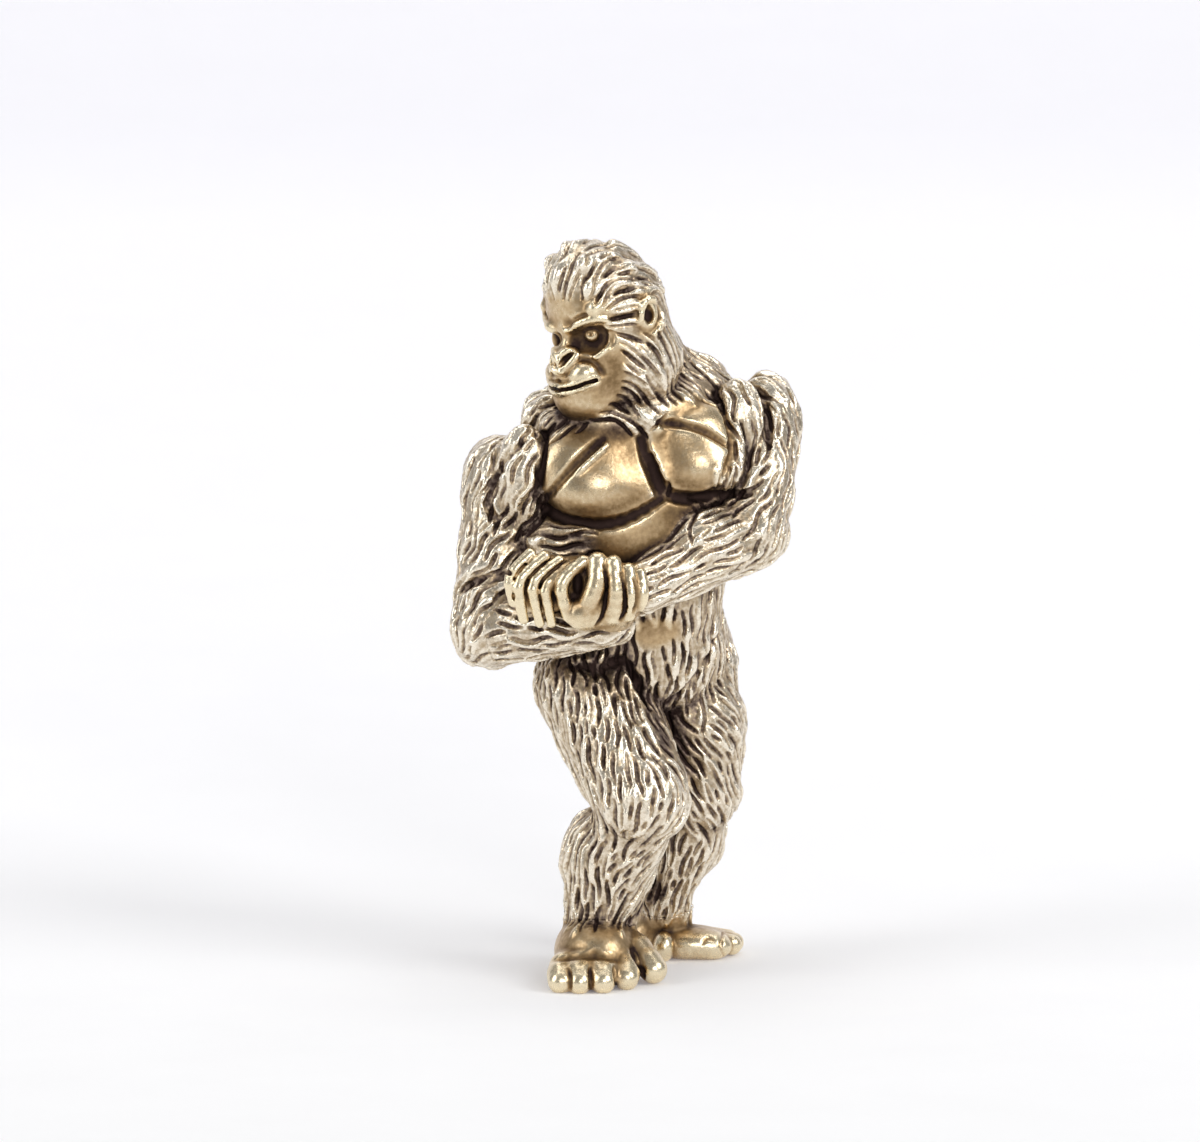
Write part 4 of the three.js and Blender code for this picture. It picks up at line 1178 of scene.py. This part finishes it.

# Where the patina was left thick, and where painted shade darkens places under and between the parts:
# lines on the photograph, how far it spreads, and how strong it is.
POOL_GAIN = 0.27
POOL_POINTS = 4
GAP_POOL_REACH = 0.4
GAP_POOL_STRENGTH = 0.6
PATINA_AND_SHADE_POOLS = [
    # The lap and the thighs.
    ([(570, 660), (595, 664), (620, 660), (636, 680)], 1.5, 0.8),
    ([(566, 672), (600, 680), (630, 686)], 2.6, 0.5),
    ([(622, 640), (630, 660), (640, 686), (650, 710)], 1.3, 0.8),
    ([(653, 712), (662, 735), (668, 752)], 1.8, 0.9),
    ([(664, 718), (676, 742), (684, 770)], 2.8, 0.45),
    ([(535, 670), (538, 700), (552, 735), (562, 765), (575, 795)], 1.8, 0.35),
    # The face and the neck.
    ([(577, 343), (590, 350), (603, 345)], 1.1, 0.2),
    ([FAR_SOCKET.place], 1.1, 1.0),
    ([(650, 318)], 0.8, 1.0),
    (MOUTH_LINE, 0.4, 0.9),
    ([(560, 412), (585, 418)], 1.6, 0.5),
    ([(600, 395), (610, 380), (612, 365)], 1.6, 0.4),
    ([(552, 424), (575, 436), (600, 438), (625, 428)], 1.6, 0.6),
    # The chest and the belly.
    ([(545, 450), (543, 470), (540, 505)], 1.2, 0.5),
    (BREASTBONE, 0.9, 0.5),
    ([(640, 452), (646, 470), (652, 486)], 1.2, 0.35),
    (BREAST_FOLD_RIGHT, 1.0, 0.55),
    ([(562, 508), (585, 515), (610, 514), (640, 502)], 1.7, 0.4),
    (BREAST_FOLD_LEFT, 1.0, 0.6),
    ([(672, 484), (690, 487), (710, 484)], 1.4, 0.4),
    ([(668, 508), (690, 502), (712, 494)], 2.0, 0.6),
    ([(535, 520), (560, 535), (592, 542)], 2.2, 0.5),
    (BREAST_GROOVE_RIGHT, 0.5, 0.25),
    (BREAST_GROOVE_LEFT, 0.5, 0.25),
    # The hands and the feet.
    ([(578, 574), (577, 592)], 0.9, 1.0),
    (GREAT_TOE_GAP.line, 0.8, 1.0),
    (TOE_CREASE.line, 1.2, 0.15),
    ([(560, 936), (590, 932), (614, 936)], 2.4, 0.22),
    ([(584, 924), (602, 927)], 0.9, 0.6),
    ([(654, 890), (640, 910)], 1.6, 0.9),
]
PATINA_AND_SHADE_POOLS += [(gap.line, GAP_POOL_REACH, GAP_POOL_STRENGTH) for gap in FIST_GAPS + TOE_GAPS]
patina_and_shade_pool = np.zeros(len(vertices))
for line, reach, strength in PATINA_AND_SHADE_POOLS:
    places = clay.seen(curve(line, POOL_POINTS * len(line)) if len(line) > 1 else line)
    inside = (vertices > places.min(axis=0) - reach) & (vertices < places.max(axis=0) + reach)
    near = np.flatnonzero(inside.all(axis=1))
    gap = np.min([np.linalg.norm(vertices[near] - place, axis=1) for place in places], axis=0) / reach
    patina_and_shade_pool[near] = np.maximum(patina_and_shade_pool[near], strength * (1 - np.minimum(gap, 1) ** 2) ** 2)
# Painted shade and patina together darken the places along these lines.
vertex_patina_and_shade = vertex_patina_and_shade + POOL_GAIN * patina_and_shade_pool

# Fine hair on the locks: grains of chance, drawn out along the lie of the hair.
FINE_SEED = 11
FINE_TABLE = 128
FINE_GRAIN = 0.17
FINE_REACH = 0.9
FINE_STEPS = 13
FINE_HEIGHT = 0.09
FINE_TONE = 0.16
FINE_CONTRAST = 0.3


def fine_hair(places, normals):
    """From 0 in the lines between fine hairs to 1 along them."""
    grains = np.random.default_rng(FINE_SEED).random((FINE_TABLE,) * 3, dtype=np.float32)
    way = combed(places, owners_at(places - 0.5 * CLAY_GRAIN * normals))
    way -= normals * np.sum(way * normals, axis=1, keepdims=True)
    way /= np.maximum(np.linalg.norm(way, axis=1, keepdims=True), TINY)
    total = np.zeros(len(places), dtype=np.float32)
    for shift in np.linspace(-FINE_REACH, FINE_REACH, FINE_STEPS):
        spot = np.floor((places + shift * way) / FINE_GRAIN).astype(int) % FINE_TABLE
        total += grains[spot[:, 0], spot[:, 1], spot[:, 2]]
    return np.clip(0.5 + FINE_CONTRAST * (total - total.mean()) / total.std(), 0, 1)


vertex_normal = clay.normal(vertices)
fine = (fine_hair(vertices, vertex_normal) - 0.5) * vertex_fur
vertex_near = vertex_near - FINE_TONE * fine
vertices += FINE_HEIGHT * fine[:, None] * vertex_normal


def cast_piece(name):
    """The mesh of one casting, with how sheltered each place is kept for its patina and its painted
    shade.
    """
    number = PIECE_NUMBER[name]
    faces = []
    hidden = []
    for quads, side_a, side_b in all_walls:
        faces.append(quads[side_a == number])
        hidden.append(side_b[side_a == number] > 0)
        faces.append(quads[side_b == number][:, ::-1])
        hidden.append(side_a[side_b == number] > 0)
    faces = np.concatenate(faces)
    hidden = np.concatenate(hidden)
    used, compact = np.unique(faces, return_inverse=True)
    compact = compact.reshape(faces.shape)
    mesh = bpy.data.meshes.new(name + "_casting")
    mesh.vertices.add(len(used))
    places = (vertices[used] - np.array(FIGURE_MIDDLE)) * MM
    mesh.vertices.foreach_set("co", places.astype(np.float32).ravel())
    mesh.loops.add(compact.size)
    mesh.loops.foreach_set("vertex_index", compact.astype(np.int32).ravel())
    mesh.polygons.add(len(compact))
    mesh.polygons.foreach_set("loop_start", np.arange(0, compact.size, 4, dtype=np.int32))
    mesh.update(calc_edges=True)
    for attribute, values in (
            ("hollow", vertex_near[used]), ("shelter", vertex_patina_and_shade[used]), ("fur", vertex_fur[used])):
        layer = mesh.attributes.new(attribute, "FLOAT", "POINT")
        layer.data.foreach_set("value", values.astype(np.float32))
    layer = mesh.attributes.new("sharp_face", "BOOLEAN", "FACE")
    layer.data.foreach_set("value", hidden)
    piece = bpy.data.objects.new(name + "_casting", mesh)
    bpy.context.scene.collection.objects.link(piece)
    return piece


# Materials. A stain on the brass is about 0.4 mm across. Sandy casting grain is really about 0.1 mm
# across, and is drawn coarser, so that it shows in the render.
STAIN_SIZE = 0.4
STAIN_DETAIL = 4.0
GRAIN_SIZE = 0.28
GRAIN_DETAIL = 3.0
GRAIN_HEIGHT = 0.05
GRAIN_STRENGTH = 0.4
SKIN_POLISHED = "#f2e3c2"
SKIN_WORN = "#bca17b"
SKIN_BROWN = "#8a7150"
HAIR_POLISHED = "#f6ecd9"
HAIR_WORN = "#baa689"
HAIR_BROWN = "#837367"
# The darkest colour stands for thick patina and for painted shade.
PATINA_AND_SHADE_DARK = "#3e302c"

# How much patina and painted shade cover a place, from shares of how sheltered and how hollow it is,
# and of the stains; the cover at which each colour is reached, and how the roughness grows with the
# cover.
PATINA_AND_SHADE_SHARE = 0.55
PATINA_AND_SHADE_START = -0.01
HOLLOW_SHARE = 0.6
STAIN_MIDDLE = 0.5
STAIN_SHARE = 0.12
STAIN_SHARE_FUR = 0.1
SKIN_STOPS = [(0.34, SKIN_POLISHED), (0.465, SKIN_WORN), (0.53, SKIN_BROWN), (0.63, PATINA_AND_SHADE_DARK)]
HAIR_STOPS = [(0.36, HAIR_POLISHED), (0.485, HAIR_WORN), (0.55, HAIR_BROWN), (0.63, PATINA_AND_SHADE_DARK)]
ROUGH_COVER = (0.42, 0.66)
ROUGHNESS = (0.2, 0.6)
GRAIN_ROUGHNESS = 0.14


def linear(hex_colour):
    """An sRGB hex value as the linear colour that a shader takes."""
    parts = [int(hex_colour[i:i + 2], 16) / 255 for i in (1, 3, 5)]
    return tuple(c / 12.92 if c <= 0.04045 else ((c + 0.055) / 1.055) ** 2.4 for c in parts) + (1.0,)


def node(material, kind, settings=None, links=None):
    """Add a node, set its sockets, fields and ramp stops, and link other nodes' outputs to it."""
    made = material.node_tree.nodes.new(kind)
    for key, value in (settings or {}).items():
        if key == "stops":
            while len(made.color_ramp.elements) < len(value):
                made.color_ramp.elements.new(0.5)
            for element, (position, colour) in zip(made.color_ramp.elements, value):
                element.position = position
                element.color = linear(colour)
        elif isinstance(key, int) or key in made.inputs:
            made.inputs[key].default_value = value
        else:
            setattr(made, key, value)
    for key, source in (links or {}).items():
        material.node_tree.links.new(source, made.inputs[key])
    return made


def antique_brass():
    """Cast brass, darkened with patina and with painted shade under and between the parts, and then
    rubbed: black-brown hollows, pale yellow high places.
    """
    material = bpy.data.materials.new("antique_cast_brass")
    material.use_nodes = True
    material.node_tree.nodes.clear()
    place = node(material, "ShaderNodeNewGeometry")
    hollow = node(material, "ShaderNodeAttribute", {"attribute_name": "hollow"})
    shelter = node(material, "ShaderNodeAttribute", {"attribute_name": "shelter"})
    fur = node(material, "ShaderNodeAttribute", {"attribute_name": "fur"})
    stain = node(material, "ShaderNodeTexNoise",
                 {"Scale": 1 / (STAIN_SIZE * MM), "Detail": STAIN_DETAIL},
                 {"Vector": place.outputs["Position"]})
    grain = node(material, "ShaderNodeTexNoise",
                 {"Scale": 1 / (GRAIN_SIZE * MM), "Detail": GRAIN_DETAIL},
                 {"Vector": place.outputs["Position"]})
    # Painted shade and the patina of sheltered places, from the wide reading.
    wide = node(material, "ShaderNodeMath",
                {"operation": "MULTIPLY_ADD", 1: PATINA_AND_SHADE_SHARE, 2: PATINA_AND_SHADE_START},
                {0: shelter.outputs["Fac"]})
    deep = node(material, "ShaderNodeMath", {"operation": "MULTIPLY_ADD", 1: HOLLOW_SHARE},
                {0: hollow.outputs["Fac"], 2: wide.outputs[0]})
    uneven = node(material, "ShaderNodeMath",
                  {"operation": "MULTIPLY_ADD", 1: STAIN_SHARE_FUR, 2: STAIN_SHARE},
                  {0: fur.outputs["Fac"]})
    speck = node(material, "ShaderNodeMath", {"operation": "SUBTRACT", 1: STAIN_MIDDLE},
                 {0: stain.outputs["Fac"]})
    cover = node(material, "ShaderNodeMath", {"operation": "MULTIPLY_ADD"},
                 {0: speck.outputs[0], 1: uneven.outputs[0], 2: deep.outputs[0]})
    skin_colour = node(material, "ShaderNodeValToRGB", {"stops": SKIN_STOPS}, {"Fac": cover.outputs[0]})
    hair_colour = node(material, "ShaderNodeValToRGB", {"stops": HAIR_STOPS}, {"Fac": cover.outputs[0]})
    colour = node(material, "ShaderNodeMix", {"data_type": "RGBA"}, {
        0: fur.outputs["Fac"], 6: skin_colour.outputs["Color"], 7: hair_colour.outputs["Color"],
    })
    dull = node(material, "ShaderNodeMapRange", {
        "From Min": ROUGH_COVER[0], "From Max": ROUGH_COVER[1],
        "To Min": ROUGHNESS[0], "To Max": ROUGHNESS[1],
    }, {"Value": cover.outputs[0]})
    rough = node(material, "ShaderNodeMath", {"operation": "MULTIPLY_ADD", 1: GRAIN_ROUGHNESS},
                 {0: grain.outputs["Fac"], 2: dull.outputs[0]})
    bump = node(material, "ShaderNodeBump",
                {"Strength": GRAIN_STRENGTH, "Distance": GRAIN_HEIGHT * MM},
                {"Height": grain.outputs["Fac"]})
    shader = node(material, "ShaderNodeBsdfPrincipled", {"Metallic": 1.0}, {
        "Base Color": colour.outputs[2], "Roughness": rough.outputs[0], "Normal": bump.outputs["Normal"],
    })
    node(material, "ShaderNodeOutputMaterial", links={"Surface": shader.outputs["BSDF"]})
    return material


brass = antique_brass()
for name, _, _, _ in CASTINGS:
    piece = cast_piece(name)
    piece.data.materials.append(brass)
    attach(piece, "root")
    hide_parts(name)

# The stage, in metres: a pale sweep that rises behind the figure, soft lamps, and the camera of the
# photograph. The card's faint clouds of pulp are in millimetres, and its glow evens out the light on it.
SWEEP_WIDTH = 1.6
SWEEP_FRONT = -1.6
SWEEP_BACK = 0.55
SWEEP_RADIUS = 0.35
SWEEP_TOP = 1.4
SWEEP_STEPS = 16
CARD_CLOUD = 4.0
CARD_TONES = (0.86, 0.9)
CARD_TINT = "#f4f2ff"
CARD_NEAR = -0.1
CARD_FAR = 0.45
CARD_GLOW_NEAR = 0.07
CARD_GLOW_FAR = 0.43
LAMP_AIM = (0.0, 0.0, 0.035)

# Each soft box: its place, its width and height, and its brightness.
SOFTBOXES = {
    "front_softbox": ((0.32, -1.2, 0.46), (0.5, 0.45), 5.4),
    "right_softbox": ((0.5, -0.3, 0.42), (0.3, 0.4), 4.6),
    "left_softbox": ((-0.5, -0.22, 0.3), (0.3, 0.5), 2.3),
    "top_softbox": ((0.0, 0.1, 0.7), (0.6, 0.5), 1.8),
}
ROOM_COLOUR = (1.0, 1.0, 1.0, 1.0)
ROOM_LIGHT = 0.3
LENS = 350.0
SENSOR = 36.0
CLIP_END = 20.0


def sweep():
    """White card: flat under the figure and curved up behind it."""
    profile = [(SWEEP_FRONT, 0.0)]
    for i in range(SWEEP_STEPS + 1):
        a = 0.5 * math.pi * i / SWEEP_STEPS
        profile.append((SWEEP_BACK + SWEEP_RADIUS * math.sin(a), SWEEP_RADIUS * (1 - math.cos(a))))
    profile.append((SWEEP_BACK + SWEEP_RADIUS, SWEEP_TOP))
    mesh = bpy.data.meshes.new("sweep")
    points = [(x, y, z) for y, z in profile for x in (-SWEEP_WIDTH, SWEEP_WIDTH)]
    faces = [(2 * i, 2 * i + 1, 2 * i + 3, 2 * i + 2) for i in range(len(profile) - 1)]
    mesh.from_pydata(points, [], faces)
    mesh.polygons.foreach_set("use_smooth", [True] * len(faces))
    card = bpy.data.objects.new("sweep", mesh)
    bpy.context.scene.collection.objects.link(card)
    return card


def white_card():
    """Matt white card, pressed from pulp: an even white without gloss."""
    material = bpy.data.materials.new("matt_white_card")
    material.use_nodes = True
    material.node_tree.nodes.clear()
    cloud = node(material, "ShaderNodeTexNoise", {"Scale": 1 / (CARD_CLOUD * MM)})
    tone = node(material, "ShaderNodeMapRange", {"To Min": CARD_TONES[0], "To Max": CARD_TONES[1]},
                {"Value": cloud.outputs["Fac"]})
    paper = node(material, "ShaderNodeBsdfDiffuse", links={"Color": tone.outputs[0]})
    ray = node(material, "ShaderNodeLightPath")
    seen = node(material, "ShaderNodeMath", {"operation": "MAXIMUM"},
                {0: ray.outputs["Is Camera Ray"], 1: ray.outputs["Is Glossy Ray"]})
    seen = node(material, "ShaderNodeMath", {"operation": "MAXIMUM"},
                {0: seen.outputs[0], 1: ray.outputs["Is Transmission Ray"]})
    place = node(material, "ShaderNodeNewGeometry")
    depth = node(material, "ShaderNodeSeparateXYZ", links={0: place.outputs["Position"]})
    even = node(material, "ShaderNodeMapRange", {
        "From Min": CARD_NEAR, "From Max": CARD_FAR,
        "To Min": CARD_GLOW_NEAR, "To Max": CARD_GLOW_FAR,
    }, {"Value": depth.outputs["Y"]})
    glow = node(material, "ShaderNodeMath", {"operation": "MULTIPLY"},
                {0: seen.outputs[0], 1: even.outputs[0]})
    light = node(material, "ShaderNodeEmission", {"Color": linear(CARD_TINT)},
                 {"Strength": glow.outputs[0]})
    both = node(material, "ShaderNodeAddShader",
                links={0: paper.outputs["BSDF"], 1: light.outputs["Emission"]})
    node(material, "ShaderNodeOutputMaterial", links={"Surface": both.outputs["Shader"]})
    return material


floor = sweep()
floor.data.materials.append(white_card())


def looking(way):
    """The turn that points a lamp or a camera along a way."""
    return Vector(way).to_track_quat("-Z", "Y").to_euler()


def lamp(name, place, size, brightness):
    """A soft box; a brightness of 1 looks as bright as white card in full light."""
    data = bpy.data.lights.new(name, "AREA")
    data.shape = "RECTANGLE"
    data.size, data.size_y = size
    data.energy = brightness * math.pi * size[0] * size[1]
    made = bpy.data.objects.new(name, data)
    made.location = place
    made.rotation_euler = looking(np.array(LAMP_AIM) - np.array(place))
    bpy.context.scene.collection.objects.link(made)


for name, (place, size, brightness) in SOFTBOXES.items():
    lamp(name, place, size, brightness)

world = bpy.data.worlds.new("studio")
bpy.context.scene.world = world
world.use_nodes = True
room = world.node_tree.nodes["Background"]
room.inputs["Color"].default_value = ROOM_COLOUR
room.inputs["Strength"].default_value = ROOM_LIGHT

VIEW_WIDTH = PICTURE_WIDTH / PICTURE_SCALE * MM
CAMERA_DISTANCE = LENS / SENSOR * VIEW_WIDTH
middle_across = (PICTURE_WIDTH / 2 - PICTURE_COLUMN) / PICTURE_SCALE
middle_rise = (PICTURE_ROW - PICTURE_HEIGHT / 2) / PICTURE_SCALE
target = middle_across * CAMERA_RIGHT + middle_rise * CAMERA_UP
target = target - CAMERA_AHEAD * (target[1] - FIGURE_MIDDLE[1]) / CAMERA_AHEAD[1]
target = (target - np.array(FIGURE_MIDDLE)) * MM
camera_data = bpy.data.cameras.new("camera")
camera_data.lens = LENS
camera_data.sensor_width = SENSOR
camera_data.clip_end = CLIP_END
camera = bpy.data.objects.new("camera", camera_data)
camera.location = target - CAMERA_AHEAD * CAMERA_DISTANCE
camera.rotation_euler = looking(CAMERA_AHEAD)
bpy.context.scene.collection.objects.link(camera)
bpy.context.scene.camera = camera
bpy.context.scene.view_settings.view_transform = "Standard"
